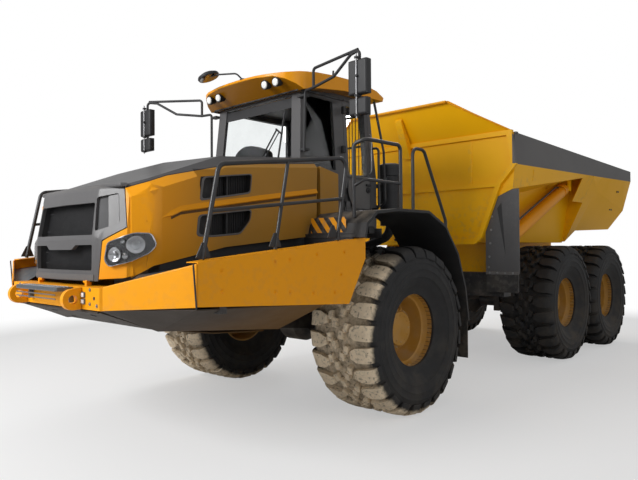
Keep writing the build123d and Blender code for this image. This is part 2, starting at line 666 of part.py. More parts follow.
def grab_rails():
    """Upright rail behind the door, and the bent tube from the roof down the cab's rear corner."""
    x, y, radius = CAB_HALF + 100, DOOR_Y[1] + 45, BAR_R - 4
    low, high, foot = 2360, 3140, 2400
    lean = (CAB_HALF - CAB_TOP_HALF) / (CAB_TOP_Z - CAB_WAIST_Z)
    wall = CAB_HALF - lean * (high - CAB_WAIST_Z) + lean * radius
    rail = tube_path([(CAB_HALF, y, low), (x, y, low), (x, y, high), (wall, y, high)], 50, radius)
    behind = CAB_REAR_Y + 35
    corner = tube_path([(x - 70, y + 5, CAB_TOP_Z - 3.5), (x, behind, 3100), (x + 20, behind, foot),
                        (CAB_HALF - 40, CAB_REAR_Y + radius + SEAT_GAP, foot)], 90, radius)
    return Compound([*rail.solids(), *corner.solids()])


# --- hood -----------------------------------------------------------------------------------------
def hood_form(inset, drop):
    """The hood's outside, or the smaller form inside it, whose foot hangs lower by drop."""
    sections = []
    for y, x0, z0, x1, z1, x2, z2, crown in HOOD_SECTIONS:
        points = [(x0 - inset, z0 - drop), (x1 - inset, z1 - 0.4 * inset), (x2 - 0.6 * inset, z2 - inset),
                  (0, crown - inset)]
        sections.append((y, half_outline(points)))
    return ruled(sections)


def hood_shell():
    """Top and sides of the hood, open below and at both ends."""
    shell = hood_form(0, 0) - hood_form(HOOD_WALL, 60)
    for z in VENT_Z:
        shell -= block((-1200, 1200), VENT_Y, z)
    chamfer = side_cut([(-960, 1900), (-700, 1900), (-700, 2420)], (-1200, 1200))
    return shell - chamfer


def mask_outline(grow):
    """Plan of the mask's outside, moved outwards by grow."""
    (x0, y0), (x1, y1) = MASK_PLAN
    return half_outline([(x1 + grow, HOOD_FRONT_Y), (x1 + grow, y1 - 0.6 * grow),
                         (x0 + 0.4 * grow, y0 - grow), (0, NOSE_PANEL_Y - grow)])


def hood_mask():
    """Nose of the hood with the two grille openings and the hinge knuckles."""
    mask = plan_cut(mask_outline(0), MASK_Z)
    mask -= plan_cut(mask_outline(-MASK_WALL), (MASK_Z[0] - 100, MASK_Z[1] - 40))
    for opening in GRILLE_Z:
        mask -= block((-GRILLE_HALF, GRILLE_HALF), (NOSE_PANEL_Y - 100, NOSE_PANEL_Y + 120), opening)
    y, z = HOOD_HINGE
    for side in (1, -1):
        x = sorted(side * v for v in KNUCKLE_X)
        knuckle = block(x, (y - 20, y + 20), (z, MASK_Z[0] + 1)) + cross_bar(22, x, y, z)
        mask += knuckle - cross_bar(HOOD_PIN_R + RUN_GAP, (x[0] - 1, x[1] + 1), y, z)
    return mask


def grilles():
    """Plate behind the mask's two openings."""
    front = MASK_PLAN[0][1] + MASK_WALL + SEAT_GAP
    half = GRILLE_HALF + 20
    return block((-half, half), (front, front + 21), (GRILLE_Z[0][0] - 40, GRILLE_Z[1][1] + 40))


def headlamps():
    """Lamp housing that wraps the corner between the mask and the hood's side."""
    x, y = MASK_PLAN[1]
    deep, rear = LAMP_DEPTH, HOOD_FRONT_Y + 165
    outline = [(x - 215, y - 90), (x - 215 + 0.46 * deep, y - 113 - 0.89 * deep),
               (x + 0.6 * deep, y - 0.9 * deep), (x + 25 + 0.8 * deep, y + 40), (x + 110 + deep, rear),
               (x + 60, rear)]
    housing = plan_cut(outline, LAMP_Z)
    return housing - plan_cut(mask_outline(SEAT_GAP), MASK_Z) - hood_form(-SEAT_GAP, 0)


# --- hitch ----------------------------------------------------------------------------------------
def hitch_casting():
    """Barrel on the steering pivot, arms for the steering rods and the swivel shaft."""
    shape = Pos(0, PIVOT_Y, HITCH_Z) * Cylinder(HITCH_R, 2 * HITCH_HALF)
    shape += Pos(0, PIVOT_Y, HITCH_Z) * Cylinder(PIVOT_PIN_R, 2 * (HITCH_HALF + PASS_GAP + EAR_WALL))
    shape += block((-150, 150), (PIVOT_Y + 100, SWIVEL_Y[0] - PASS_GAP), (900, 1200))
    shape += round_bar((0, SWIVEL_Y[0] - PASS_GAP - 1, HITCH_Z), (0, SWIVEL_Y[1] - 20, HITCH_Z), SWIVEL_R)
    x, y = STEER_EYE
    gap = STEER_EYE_HALF + PASS_GAP
    for z in ((HITCH_Z + gap, HITCH_Z + gap + CLEVIS_WALL), (HITCH_Z - gap - CLEVIS_WALL, HITCH_Z - gap)):
        shape += block((-x - 60, x + 60), (y - 60, SWIVEL_Y[0] - PASS_GAP), z)
    return shape


# --- rear unit ------------------------------------------------------------------------------------
def rear_neck():
    """Bearing tube of the roll shaft and the block that the rear rails start from."""
    bore = SWIVEL_R + RUN_GAP
    shape = round_bar((0, SWIVEL_Y[0], HITCH_Z), (0, SWIVEL_Y[1] + 10, HITCH_Z), bore + SWIVEL_WALL)
    shape += block((-REAR_RAIL_OUTER, REAR_RAIL_OUTER), (SWIVEL_Y[1], SWIVEL_Y[1] + NECK_WALL), NECK_Z)
    return shape - round_bar((0, SWIVEL_Y[0] - 5, HITCH_Z), (0, SWIVEL_Y[1] - 10, HITCH_Z), bore)


def rear_rail():
    """Left rail with its bed pivot, hoist bracket and axle trunnion."""
    front = SWIVEL_Y[1] + NECK_WALL
    y, z = HOIST_BASE
    gap = HOIST_EYE_HALF + PASS_GAP
    middle = (MID_AXLE_Y + REAR_AXLE_Y) / 2
    x = (REAR_RAIL_INNER, REAR_RAIL_OUTER)
    shape = side_cut([(front, 970), (3900, 970), (4150, 1130), (REAR_RAIL_END_Y, 1130),
                      (REAR_RAIL_END_Y, REAR_RAIL_TOP), (4150, REAR_RAIL_TOP), (3600, 1320),
                      (front, NECK_Z[1])], x)
    # bed pivot: two plates and a pin
    outline = [(BED_PIVOT_Y - 150, 1200), (BED_PIVOT_Y - 90, BED_PIVOT_Z + 80),
               (BED_PIVOT_Y + 90, BED_PIVOT_Z + 80), (BED_PIVOT_Y + 150, 1200)]
    for plate in ((x[0] - 40, x[0]), (x[1], x[1] + 40)):
        shape += side_cut(outline, plate)
    shape += cross_bar(BED_PIN_R, (x[0] - 40, x[1] + 40), BED_PIVOT_Y, BED_PIVOT_Z)
    # hoist bracket: beam out from the rail, clevis plates and pin
    near, far = HOIST_X - gap - CLEVIS_WALL, HOIST_X + gap + CLEVIS_WALL
    shape += block((x[1], far), (y - 110, y + 110), HOIST_BEAM_Z)
    top = HOIST_BEAM_Z[1] - 1
    plate = [(y - 110, top), (y - 70, z + 70), (y + 70, z + 70), (y + 110, top)]
    for wall in ((near, near + CLEVIS_WALL), (far - CLEVIS_WALL, far)):
        shape += side_cut(plate, wall)
    shape += cross_bar(HOIST_PIN_R, (near, far), y, z)
    # trunnion for the walking beams' cross tube
    trunnion = block(x, (middle - 130, middle + 130), (CROSS_TUBE_Z - 120, 1131))
    bore = cross_bar(CROSS_TUBE_R + RUN_GAP, (x[0] - 1, x[1] + 1), middle, CROSS_TUBE_Z)
    return shape + (trunnion - bore)


def rear_crossmembers():
    """Three cross members between the rear rails."""
    shape = Part()
    for y in ((3500, 3620), (5900, 6020), (BED_PIVOT_Y + 150, REAR_RAIL_END_Y)):
        shape += block((-REAR_RAIL_INNER, REAR_RAIL_INNER), y, (1180, 1310))
    return shape


def walking_beams():
    """Two beams that share the load between the rear axles, on a cross tube."""
    middle = (MID_AXLE_Y + REAR_AXLE_Y) / 2
    shape = cross_bar(CROSS_TUBE_R, (-700, 700), middle, CROSS_TUBE_Z)
    outline = [(MID_AXLE_Y - 200, 740), (MID_AXLE_Y - 200, 1120), (middle - 200, 1100),
               (middle + 200, 1100), (REAR_AXLE_Y + 200, 1120), (REAR_AXLE_Y + 200, 740),
               (middle, 880)]
    shape += pair(side_cut(outline, (590, 700)))
    for y in (MID_AXLE_Y, REAR_AXLE_Y):
        shape -= cross_bar(AXLE_TUBE_R + SEAT_GAP, (-710, 710), y, AXLE_Z)
    return shape


def rear_axles():
    shape = Part()
    for y in (MID_AXLE_Y, REAR_AXLE_Y):
        shape += Pos(0, y, AXLE_Z) * axle_beam()
    return shape


# --- bed ------------------------------------------------------------------------------------------
def along(y, front, rear):
    """Value at y that runs evenly from the bed's front to its rear."""
    return front + (rear - front) * (y - BED_FRONT_Y) / (TAIL_Y - BED_FRONT_Y)


def bed_top(y):
    return along(y, BED_TOP_FRONT, BED_TOP_REAR)


def recess_section(y, crease, inner):
    """Bed outline with the hoist's recess: crease and inner are (x, z) points."""
    return half_outline([(BED_HALF, bed_top(y)), (BED_HALF, along(y, *BAND_Z)), crease, inner,
                         (1200, BED_FLOOR_Z), (0, BED_FLOOR_Z)])


def chute_section(y, low, corner, floor):
    """Bed outline behind the recess."""
    return half_outline([(BED_HALF, bed_top(y)), (BED_HALF, along(y, *BAND_Z)), low, corner, (0, floor)])


def shrunk(points, wall, top):
    """The inner outline of a section: wall thick, and open above its top."""
    half = [p for p in points if p[0] >= 0]
    strip = thickened(half, wall)
    inner = strip[len(half):][::-1]
    (x0, _), *rest = inner
    last = (0, inner[-1][1])
    return half_outline([(x0, top)] + rest[:-1] + [last])


def bed_shell():
    """Open load body with headboard, spill guard, beams and cylinder lugs."""
    front = [(y, recess_section(y, fold, corner))
             for y, fold, corner in zip((BED_FRONT_Y, POCKET_END_Y), CREASE, POCKET)]
    rear = [(POCKET_END_Y, chute_section(POCKET_END_Y, (1700, 2900), (1250, 1950), 1950)),
            (KINK_Y, chute_section(KINK_Y, (1700, 2900), (1300, 2160), 2160)),
            (TAIL_Y, chute_section(TAIL_Y, (1640, 2600), (1340, 2215), 2215))]
    shape = ruled(front) + ruled(rear)
    for side in (1, -1):
        for lug in hoist_lugs(side):
            shape += lug
    top = BED_TOP_FRONT + 200
    inner = [(y + (0 if i else BED_WALL), shrunk(p, BED_WALL, top)) for i, (y, p) in enumerate(front)]
    shape -= ruled(inner)
    inner = [(y + (0 if i else BED_WALL), shrunk(p, BED_WALL, top)) for i, (y, p) in enumerate(rear)]
    shape -= ruled(inner + [(TAIL_Y + 50, inner[-1][1])])
    shape -= ruled([(POCKET_END_Y - 1, shrunk(front[1][1], BED_WALL, top)),
                    (POCKET_END_Y + BED_WALL + 1, shrunk(front[1][1], BED_WALL, top))])
    shape += headboard() + spill_guard()
    for side in (1, -1):
        for piece in bed_side_pieces(side):
            shape += piece
    return shape


def headboard():
    """Front wall with a raised frame round it and a cross rib."""
    wall = front_cut(half_outline(HEAD_LINE), (BED_FRONT_Y - BED_WALL, BED_FRONT_Y + 1))
    ring = front_cut(half_outline(HEAD_LINE), (HEAD_FRONT_Y, BED_FRONT_Y - 1))
    inner = [(1700, 3460), (1760, 3050), (1540, 2800), (1240, 2040), (1150, 1980)]
    ring -= front_cut(half_outline(inner), (HEAD_FRONT_Y - 1, BED_FRONT_Y))
    return wall + ring + block((-1600, 1600), (HEAD_FRONT_Y, BED_FRONT_Y - 1), (2730, 2790))


def spill_guard():
    """Plate that leans over the cab, with a lip and a middle gusset."""
    foot, tip = (HEAD_FRONT_Y + 30, 3520.0), (2200.0, 4030.0)
    wall = 14.0
    plate = side_cut([foot, (foot[0] + wall + 6, foot[1]), (tip[0] + wall + 6, tip[1]), tip],
                     (-BED_HALF, BED_HALF))
    outline = [(-1780, 3500), (-920, 4040), (920, 4040), (1780, 3500)]
    plate = plate & front_cut(outline, (2000, 2800))
    lip = block((-915, 915), (tip[0] - 50, tip[0] + 20), (tip[1] - 14, tip[1]))
    gusset = side_cut([(foot[0] - 25, 3300), (foot[0] - 25, foot[1]), (2260, 3900), (2240, 3860),
                       (2440, 3400), (2480, 3290)], (-60, 60))
    return plate + lip + gusset


def hoist_lugs(side):
    """The two plates beside a hoist rod's eye; they end in the recess's panel."""
    y, z = HOIST_TOP
    gap, top = HOIST_EYE_HALF + PASS_GAP, POCKET[1][1]
    inner = sorted((side * (HOIST_X - gap - CLEVIS_WALL), side * (HOIST_X - gap)))
    outer = sorted((side * (HOIST_X + gap), side * (HOIST_X + gap + CLEVIS_WALL)))
    plate = [(y - 70, top), (y - 60, z - 60), (y + 60, z - 60), (y + 70, top)]
    return [side_cut(plate, inner), side_cut(plate, outer)]


def bed_side_pieces(side):
    """Beam with its pivot lug, and the pocket's end skin, on one side of the bed."""
    x = sorted((side * (REAR_RAIL_INNER + PASS_GAP), side * (REAR_RAIL_OUTER - PASS_GAP)))
    beam = [(BED_FRONT_Y, BED_FLOOR_Z + 1), (BED_FRONT_Y, 1500), (3600, REAR_RAIL_TOP + 6),
            (6600, REAR_RAIL_TOP + 6), (6900, 1640), (7060, 1680), (7100, 1800), (7060, 2200),
            (6260, 2165), (5800, 1945)]
    lower = side_cut(beam, x)
    lower -= cross_bar(BED_PIN_R + RUN_GAP, (x[0] - 1, x[1] + 1), BED_PIVOT_Y, BED_PIVOT_Z)
    skin_line = [(1800, 3120), (1697, 2890), (1590, 2660)]
    strip = thickened([(side * px, pz) for px, pz in skin_line], side * PANEL_WALL)
    return [lower, front_cut(strip, (5300, POCKET_END_Y + 5))]


def bed_shields():
    """Mud shield ahead of each mid wheel, with its rubber flap."""
    fold, corner = CREASE[0], POCKET[0]
    inner = 1330
    side_z = BED_FLOOR_Z + (corner[1] - BED_FLOOR_Z) * (inner - 1200) / (corner[0] - 1200)
    outline = [(inner, 1470), (1850, 1470), (1850, fold[1] - 2), (fold[0], fold[1] - 2),
               (corner[0] + 1, corner[1] - 2), (inner, side_z - 3)]
    plate = front_cut(outline, (BED_FRONT_Y + 1, BED_FRONT_Y + 16))
    flap = block((1345, 1835), (BED_FRONT_Y + 1, BED_FRONT_Y + 11), (1215, 1471))
    return plate + flap


# --- cylinders ------------------------------------------------------------------------------------
def ram(length, eye_r, eye_half, pin_r, barrel_r, rod_r, wall_end, rod_start):
    """Barrel and rod along +X from the base pin at the origin, with eyes across Y.

    The barrel ends at wall_end, and the rod's hidden end lies at rod_start.
    """
    flat = Rot(90, 0, 0)
    barrel = flat * Cylinder(eye_r, 2 * eye_half)
    body = round_bar((0.6 * eye_r, 0, 0), (wall_end, 0, 0), barrel_r)
    neck = block((0, eye_r + 40), (-eye_half, eye_half), (-0.7 * eye_r, 0.7 * eye_r))
    barrel = barrel + neck + (body - block((0, eye_r + 30), (-500, 500), (-500, 500)))
    barrel -= flat * Cylinder(pin_r + RUN_GAP, 4 * eye_half)
    barrel -= round_bar((eye_r + 45, 0, 0), (wall_end + 5, 0, 0), rod_r + RUN_GAP)
    rod = round_bar((rod_start, 0, 0), (length, 0, 0), rod_r)
    rod += Pos(length, 0, 0) * flat * Cylinder(eye_r, 2 * eye_half)
    return barrel, rod


def hoist(side):
    (y0, z0), (y1, z1) = HOIST_BASE, HOIST_TOP
    length = math.hypot(y1 - y0, z1 - z0)
    barrel, rod = ram(length, HOIST_EYE_R, HOIST_EYE_HALF, HOIST_PIN_R, HOIST_R, HOIST_ROD_R,
                      length - HOIST_EYE_R - 20, HOIST_EYE_R + 60)
    place = Plane(origin=(side * HOIST_X, y0, z0), x_dir=(0, y1 - y0, z1 - z0), z_dir=(0, z0 - z1, y1 - y0))
    return place * barrel, place * rod


def steering(side):
    (x0, y0), (x1, y1) = STEER_BASE, STEER_EYE
    length = math.hypot(x1 - x0, y1 - y0)
    barrel, rod = ram(length, STEER_EYE_R, STEER_EYE_HALF, STEER_PIN_R, STEER_R, STEER_ROD_R, STEER_BARREL,
                      STEER_EYE_R + 60 + STEER_STROKE)
    place = Plane(origin=(side * x0, y0, HITCH_Z), x_dir=(side * (x1 - x0), y1 - y0, 0), z_dir=(0, 0, 1))
    turn = Rot(90, 0, 0)
    return place * turn * barrel, place * turn * rod


def save_all():
    save_wheels()
    save("front_axle", front_axle())
    save("front_rails", pair(front_rail()))
    save("front_crossmembers", front_crossmembers())
    save("front_head", front_head())
    save("cab_subframe", cab_subframe())
    save("engine_block", engine_block())
    save("bumper", bumper())
    save("front_step", front_step())
    save("belly_guard", belly_guard())
    save("corner_panels", pair(corner_panel()))
    save("side_panels", pair(side_panel()))
    save("decks", pair(deck()))
    save("mudguards", pair(mudguard()))
    save("ladder", ladder())
    left = side_handrail()
    rails = (left, landing_rail(), ladder_rail())
    save("handrails_left", Compound([solid for rail in rails for solid in rail.solids()]))
    save("handrail_right", mirrored(left))
    shell, glass, door, pane = cab_pieces()
    save("cab_shell", shell)
    save("cab_glass", glass)
    save("door_frame", door)
    save("door_glass", pane)
    save("cab_roof", cab_roof())
    save("seat", seat())
    save("dash_console", dash_console())
    save("cowl_panels", pair(cowl()))
    save("air_cleaner", air_cleaner())
    save("mirrors", mirrors())
    save("grab_rails", grab_rails())
    save("hood_shell", hood_shell())
    save("hood_mask", hood_mask())
    save("grilles", grilles())
    save("headlamps", pair(headlamps()))
    save("hitch_casting", hitch_casting())
    save("rear_neck", rear_neck())
    save("rear_rails", pair(rear_rail()))
    save("rear_crossmembers", rear_crossmembers())
    save("walking_beams", walking_beams())
    save("rear_axles", rear_axles())
    save("bed_shell", bed_shell())
    save("bed_shields", pair(bed_shields()))
    for name, side in SIDES:
        barrel, rod = hoist(side)
        save(f"hoist_barrel_{name}", barrel)
        save(f"hoist_rod_{name}", rod)
        barrel, rod = steering(side)
        save(f"steer_barrel_{name}", barrel)
        save(f"steer_rod_{name}", rod)


if __name__ == "__main__":
    os.makedirs("parts", exist_ok=True)
    save_all()
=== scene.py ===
"""Articulated dump truck: finishes, fittings, wheels and stage around the packed frame."""
import json
import math

import bmesh
import bpy
from mathutils import Matrix, Vector
from mathutils.bvhtree import BVHTree

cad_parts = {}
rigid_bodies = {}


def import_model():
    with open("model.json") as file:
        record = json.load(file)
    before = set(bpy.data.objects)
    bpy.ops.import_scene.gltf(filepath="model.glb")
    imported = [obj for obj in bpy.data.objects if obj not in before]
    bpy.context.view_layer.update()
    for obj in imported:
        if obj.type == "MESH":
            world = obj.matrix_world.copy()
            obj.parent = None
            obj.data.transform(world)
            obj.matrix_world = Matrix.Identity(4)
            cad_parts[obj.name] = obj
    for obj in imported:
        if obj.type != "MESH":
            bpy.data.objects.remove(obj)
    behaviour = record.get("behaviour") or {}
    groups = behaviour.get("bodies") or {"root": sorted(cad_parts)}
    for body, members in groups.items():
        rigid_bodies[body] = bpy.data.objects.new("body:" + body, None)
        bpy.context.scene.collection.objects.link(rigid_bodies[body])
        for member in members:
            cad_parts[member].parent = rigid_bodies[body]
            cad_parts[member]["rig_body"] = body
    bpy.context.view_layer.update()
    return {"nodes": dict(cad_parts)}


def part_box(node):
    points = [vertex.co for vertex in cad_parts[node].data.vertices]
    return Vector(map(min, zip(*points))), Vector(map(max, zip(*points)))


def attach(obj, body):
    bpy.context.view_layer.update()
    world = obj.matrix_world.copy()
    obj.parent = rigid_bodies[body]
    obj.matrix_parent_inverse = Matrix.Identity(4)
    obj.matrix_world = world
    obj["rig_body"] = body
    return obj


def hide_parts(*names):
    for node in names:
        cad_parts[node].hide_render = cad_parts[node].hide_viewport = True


bl_info = {
    "name": "Articulated dump truck",
    "version": (1, 0, 0),
    "blender": (4, 5, 0),
    "location": "View3D > Sidebar > Truck",
    "description": "Builds the looks of a six-wheel articulated dump truck around its frame",
    "category": "Object",
}

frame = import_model()
X, Y, Z = Vector((1, 0, 0)), Vector((0, 1, 0)), Vector((0, 0, 1))
MIRROR = Matrix.Scale(-1, 4, X)
SAME_PLACE = 0.00005                # corners nearer than this are one
LATHE_MERGE = 0.0002                # the same, for a turned piece's ends on its axis
ONE_PLANE = math.radians(0.8)       # faces that meet at less than this are one


# --- places -----------------------------------------------------------------------------------------
def middle(node):
    low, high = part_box(node)
    return (Vector(low) + Vector(high)) / 2


FRONT_WHEEL = middle("tyre_front_left")
AXLES = {axle: middle(f"tyre_{axle}_left").y for axle in ("front", "mid", "rear")}
SIDES = {"left": 1, "right": -1}


def at(x, y, z):
    """Point whose y is measured from the front axle."""
    return Vector((x, y + FRONT_WHEEL.y, z))


# --- modelling by hand, in code -----------------------------------------------------------------------
def only(piece):
    """Select this piece alone and make it active."""
    bpy.ops.object.select_all(action="DESELECT")
    piece.select_set(True)
    bpy.context.view_layer.objects.active = piece
    return piece


def edit_kept(piece):
    """Edit mode with the selection that was made beforehand."""
    only(piece)
    bpy.ops.object.mode_set(mode="EDIT")


def edit(piece, action="SELECT"):
    edit_kept(piece)
    bpy.ops.mesh.select_all(action=action)


def leave_edit():
    bpy.ops.object.mode_set(mode="OBJECT")


def turned_out(piece):
    """Leave edit mode with all faces pointing outwards."""
    bpy.ops.mesh.select_all(action="SELECT")
    bpy.ops.mesh.normals_make_consistent(inside=False)
    leave_edit()
    return piece


def finished(piece, kind, **settings):
    """Add one modifier, set it and apply it."""
    only(piece)
    modifier = piece.modifiers.new(kind.title(), kind)
    for key, value in settings.items():
        setattr(modifier, key, value)
    bpy.ops.object.modifier_apply(modifier=modifier.name)
    return piece


def smooth(piece, angle=40):
    only(piece)
    bpy.ops.object.shade_smooth_by_angle(angle=math.radians(angle))
    return finished(piece, "WEIGHTED_NORMAL", keep_sharp=True)


def rounded(piece, width, segments=3, angle=30):
    """Round the edges sharper than angle, with flat faces kept flat in shading."""
    if width:
        finished(piece, "BEVEL", width=width, segments=segments, limit_method="ANGLE",
                 angle_limit=math.radians(angle), miter_outer="MITER_ARC")
    return smooth(piece)


def block(name, low, high, soften=0.0, segments=3):
    """Box between two corners, with rounded edges."""
    low, high = Vector(low), Vector(high)
    bpy.ops.object.select_all(action="DESELECT")
    bpy.ops.mesh.primitive_cube_add(size=1, location=(low + high) / 2, scale=high - low)
    piece = bpy.context.object
    piece.name = name
    bpy.ops.object.transform_apply()
    return rounded(piece, soften, segments)


def wire(name, points):
    """Chain of edges through the points, drawn by extruding one vertex."""
    bpy.ops.object.select_all(action="DESELECT")
    bpy.ops.mesh.primitive_plane_add(size=0.001, location=points[0])
    piece = bpy.context.object
    piece.name = name
    bpy.ops.object.transform_apply()
    edit(piece)
    bpy.ops.mesh.merge(type="CENTER")
    for start, end in zip(points, points[1:]):
        step = Vector(end) - Vector(start)
        bpy.ops.mesh.extrude_region_move(TRANSFORM_OT_translate={"value": step})
    leave_edit()
    return piece


def plate(name, points, depth, soften=0.0, segments=3, corner=0.0):
    """Flat outline pulled out by depth, with its corners and then its edges rounded."""
    piece = wire(name, points)
    edit(piece)
    bpy.ops.mesh.edge_face_add()
    if corner:
        bpy.ops.mesh.bevel(offset=corner, segments=5, affect="VERTICES")
    bpy.ops.mesh.select_all(action="SELECT")
    bpy.ops.mesh.extrude_region_move(TRANSFORM_OT_translate={"value": depth})
    return rounded(turned_out(piece), soften, segments)


def turned(name, profile, centre, axis=X, steps=72, angle=35):
    """Lathe work: (along, radius) points turned about an axis through centre."""
    side = Z if abs(axis.z) < 0.9 else X
    side = (side - axis * side.dot(axis)).normalized()
    piece = wire(name, [centre + axis * along + side * radius for along, radius in profile])
    edit(piece)
    bpy.ops.mesh.spin(steps=steps, angle=math.tau, center=centre, axis=axis)
    bpy.ops.mesh.select_all(action="SELECT")
    bpy.ops.mesh.remove_doubles(threshold=LATHE_MERGE)
    only(turned_out(piece))
    bpy.ops.object.shade_smooth_by_angle(angle=math.radians(angle))
    return piece


def tube(name, points, radius, bend=0.05):
    """Round bar along straight runs whose corners are bent."""
    piece = wire(name, points)
    if len(points) > 2 and bend:
        edit(piece)
        bpy.ops.mesh.bevel(offset=bend, segments=6, affect="VERTICES")
        leave_edit()
    only(piece)
    bpy.ops.object.convert(target="CURVE")
    piece = bpy.context.object
    piece.data.bevel_depth = radius
    piece.data.bevel_resolution = 3
    piece.data.use_fill_caps = True
    bpy.ops.object.convert(target="MESH")
    piece = bpy.context.object
    bpy.ops.object.shade_smooth_by_angle(angle=math.radians(50))
    return piece


def twin(piece, name=None):
    """Copy with its own mesh."""
    other = piece.copy()
    other.data = piece.data.copy()
    other.name = name or piece.name
    bpy.context.collection.objects.link(other)
    return other


def moved(piece, matrix):
    """Put the place into the mesh, turning it the right way out after a mirror."""
    piece.data.transform(matrix)
    if matrix.determinant() < 0:
        piece.data.flip_normals()
    return piece


def around(centre, matrix):
    """The matrix, carried out about a centre."""
    return Matrix.Translation(centre) @ matrix @ Matrix.Translation(-centre)


def joined(name, pieces):
    """Join pieces into one object."""
    bpy.ops.object.select_all(action="DESELECT")
    for piece in pieces:
        piece.select_set(True)
    bpy.context.view_layer.objects.active = pieces[0]
    if len(pieces) > 1:
        bpy.ops.object.join()
    pieces[0].name = name
    return pieces[0]


def both(piece, name):
    """A piece and its mirror image, joined."""
    return joined(name, [piece, moved(twin(piece), MIRROR)])


def strewn(name, piece, places):
    """The piece once at each place, joined."""
    copies = [moved(twin(piece), Matrix.Translation(place)) for place in places]
    bpy.data.objects.remove(piece)
    return joined(name, copies)


def ringed(piece, count, centre, axis=X, start=0.0):
    """Repeat a piece evenly round an axis."""
    if start:
        moved(piece, around(centre, Matrix.Rotation(start, 4, axis)))
    bpy.ops.object.select_all(action="DESELECT")
    bpy.ops.object.empty_add(location=(0, 0, 0))
    guide = bpy.context.object
    guide.matrix_world = around(centre, Matrix.Rotation(math.tau / count, 4, axis))
    bpy.context.view_layer.update()
    finished(piece, "ARRAY", count=count, use_relative_offset=False, use_object_offset=True,
             offset_object=guide)
    bpy.data.objects.remove(guide)
    return piece


def bolt(name, place, axis, radius=0.012, height=0.009):
    """Six-sided bolt head on its washer."""
    washer = [(0, 0), (0, radius * 1.5), (0.003, radius * 1.5), (0.003, 0)]
    head = [(0.002, 0), (0.002, radius), (height * 0.8, radius), (height, radius * 0.8), (height, 0)]
    return joined(name, [turned(name, washer, Vector(place), axis, 16),
                         turned(name, head, Vector(place), axis, 6, angle=20)])


def fit(piece, body="front_unit", finish="black_plastic"):
    """Give a piece its finish and let it ride on its body."""
    piece.data.materials.clear()
    piece.data.materials.append(FINISHES[finish])
    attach(piece, body)
    return piece


def put(name, pieces, body="front_unit", finish="black_plastic", pair=False, stands_for=None):
    """Join pieces, with their mirror images if they come in pairs, and fit them.

    They may stand for a CAD node."""
    piece = joined(name, pieces)
    if pair:
        piece = both(piece, name)
    if stands_for:
        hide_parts(stands_for)
    return fit(piece, body, finish)


def own_copy(node, name):
    """New object with a CAD node's mesh, left in edit mode with its corners merged."""
    piece = bpy.data.objects.new(name, frame["nodes"][node].data.copy())
    bpy.context.collection.objects.link(piece)
    edit(piece)
    bpy.ops.mesh.remove_doubles(threshold=SAME_PLACE)
    return piece


def flattened(piece):
    """Merge the selected faces that lie in one plane, and drop the shading kept with the mesh."""
    bpy.ops.mesh.dissolve_limited(angle_limit=ONE_PLANE)
    leave_edit()
    kept = piece.data.attributes.get("custom_normal")
    if kept:
        piece.data.attributes.remove(kept)
    return piece


def softened(node, finish, width):
    """Copy of a CAD node with rounded edges, which stands for the node."""
    piece = rounded(flattened(own_copy(node, node + "_finished")), width, 2, 28)
    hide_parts(node)
    return fit(piece, frame["nodes"][node]["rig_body"], finish)


# --- node groups and finishes -------------------------------------------------------------------------
FINISHES = {}


def linked(tree, made, inputs):
    """Give a node its inputs, each a value or a socket."""
    for key, value in inputs.items():
        if isinstance(value, bpy.types.NodeSocket):
            tree.links.new(value, made.inputs[key])
        else:
            made.inputs[key].default_value = value
    return made


def add(tree, kind, settings=None, **inputs):
    """Add a node; in an input's name _ stands for a space, and i0 for the first input."""
    made = tree.nodes.new("ShaderNode" + kind)
    for key, value in (settings or {}).items():
        setattr(made, key, value)
    return linked(tree, made, {int(key[1:]) if key[0] == "i" else key.replace("_", " "): value
                               for key, value in inputs.items()})


def math_node(tree, operation, first, second=0.0, third=0.0, clamp=False):
    settings = {"operation": operation, "use_clamp": clamp}
    return add(tree, "Math", settings, i0=first, i1=second, i2=third).outputs[0]


def product(tree, first, *others):
    for other in others:
        first = math_node(tree, "MULTIPLY", first, other)
    return first


def blend_colour(tree, factor, first, second):
    """Mix of two colours, each a socket or red, green and blue."""
    first, second = (c if isinstance(c, bpy.types.NodeSocket) else (*c, 1) for c in (first, second))
    return add(tree, "Mix", {"data_type": "RGBA"}, i0=factor, i6=first, i7=second).outputs[2]


def noise(tree, scale, detail=4.0):
    place = add(tree, "TexCoord").outputs["Object"]
    return add(tree, "TexNoise", Vector=place, Scale=scale, Detail=detail, Roughness=0.6).outputs["Fac"]


def ramp(tree, value, low, high):
    """Value from 0 at low to 1 at high."""
    return add(tree, "MapRange", {"clamp": True, "interpolation_type": "SMOOTHSTEP"},
               Value=value, From_Min=low, From_Max=high).outputs[0]


def place_of(tree):
    """x, y and z of the point, as sockets."""
    return add(tree, "SeparateXYZ", Vector=add(tree, "TexCoord").outputs["Object"]).outputs


def upward(tree):
    """How far the surface faces up, from -1 to 1."""
    return add(tree, "SeparateXYZ", Vector=add(tree, "NewGeometry").outputs["Normal"]).outputs[2]


def new_group(name, inputs, outputs):
    tree = bpy.data.node_groups.new(name, "ShaderNodeTree")
    kinds = {True: "NodeSocketColor", False: "NodeSocketFloat"}
    for label, default in inputs.items():
        kind = kinds[isinstance(default, tuple)]
        tree.interface.new_socket(label, in_out="INPUT", socket_type=kind).default_value = default
    for label in outputs:
        tree.interface.new_socket(label, in_out="OUTPUT", socket_type=kinds[label == "Colour"])
    return tree, tree.nodes.new("NodeGroupInput").outputs, tree.nodes.new("NodeGroupOutput")


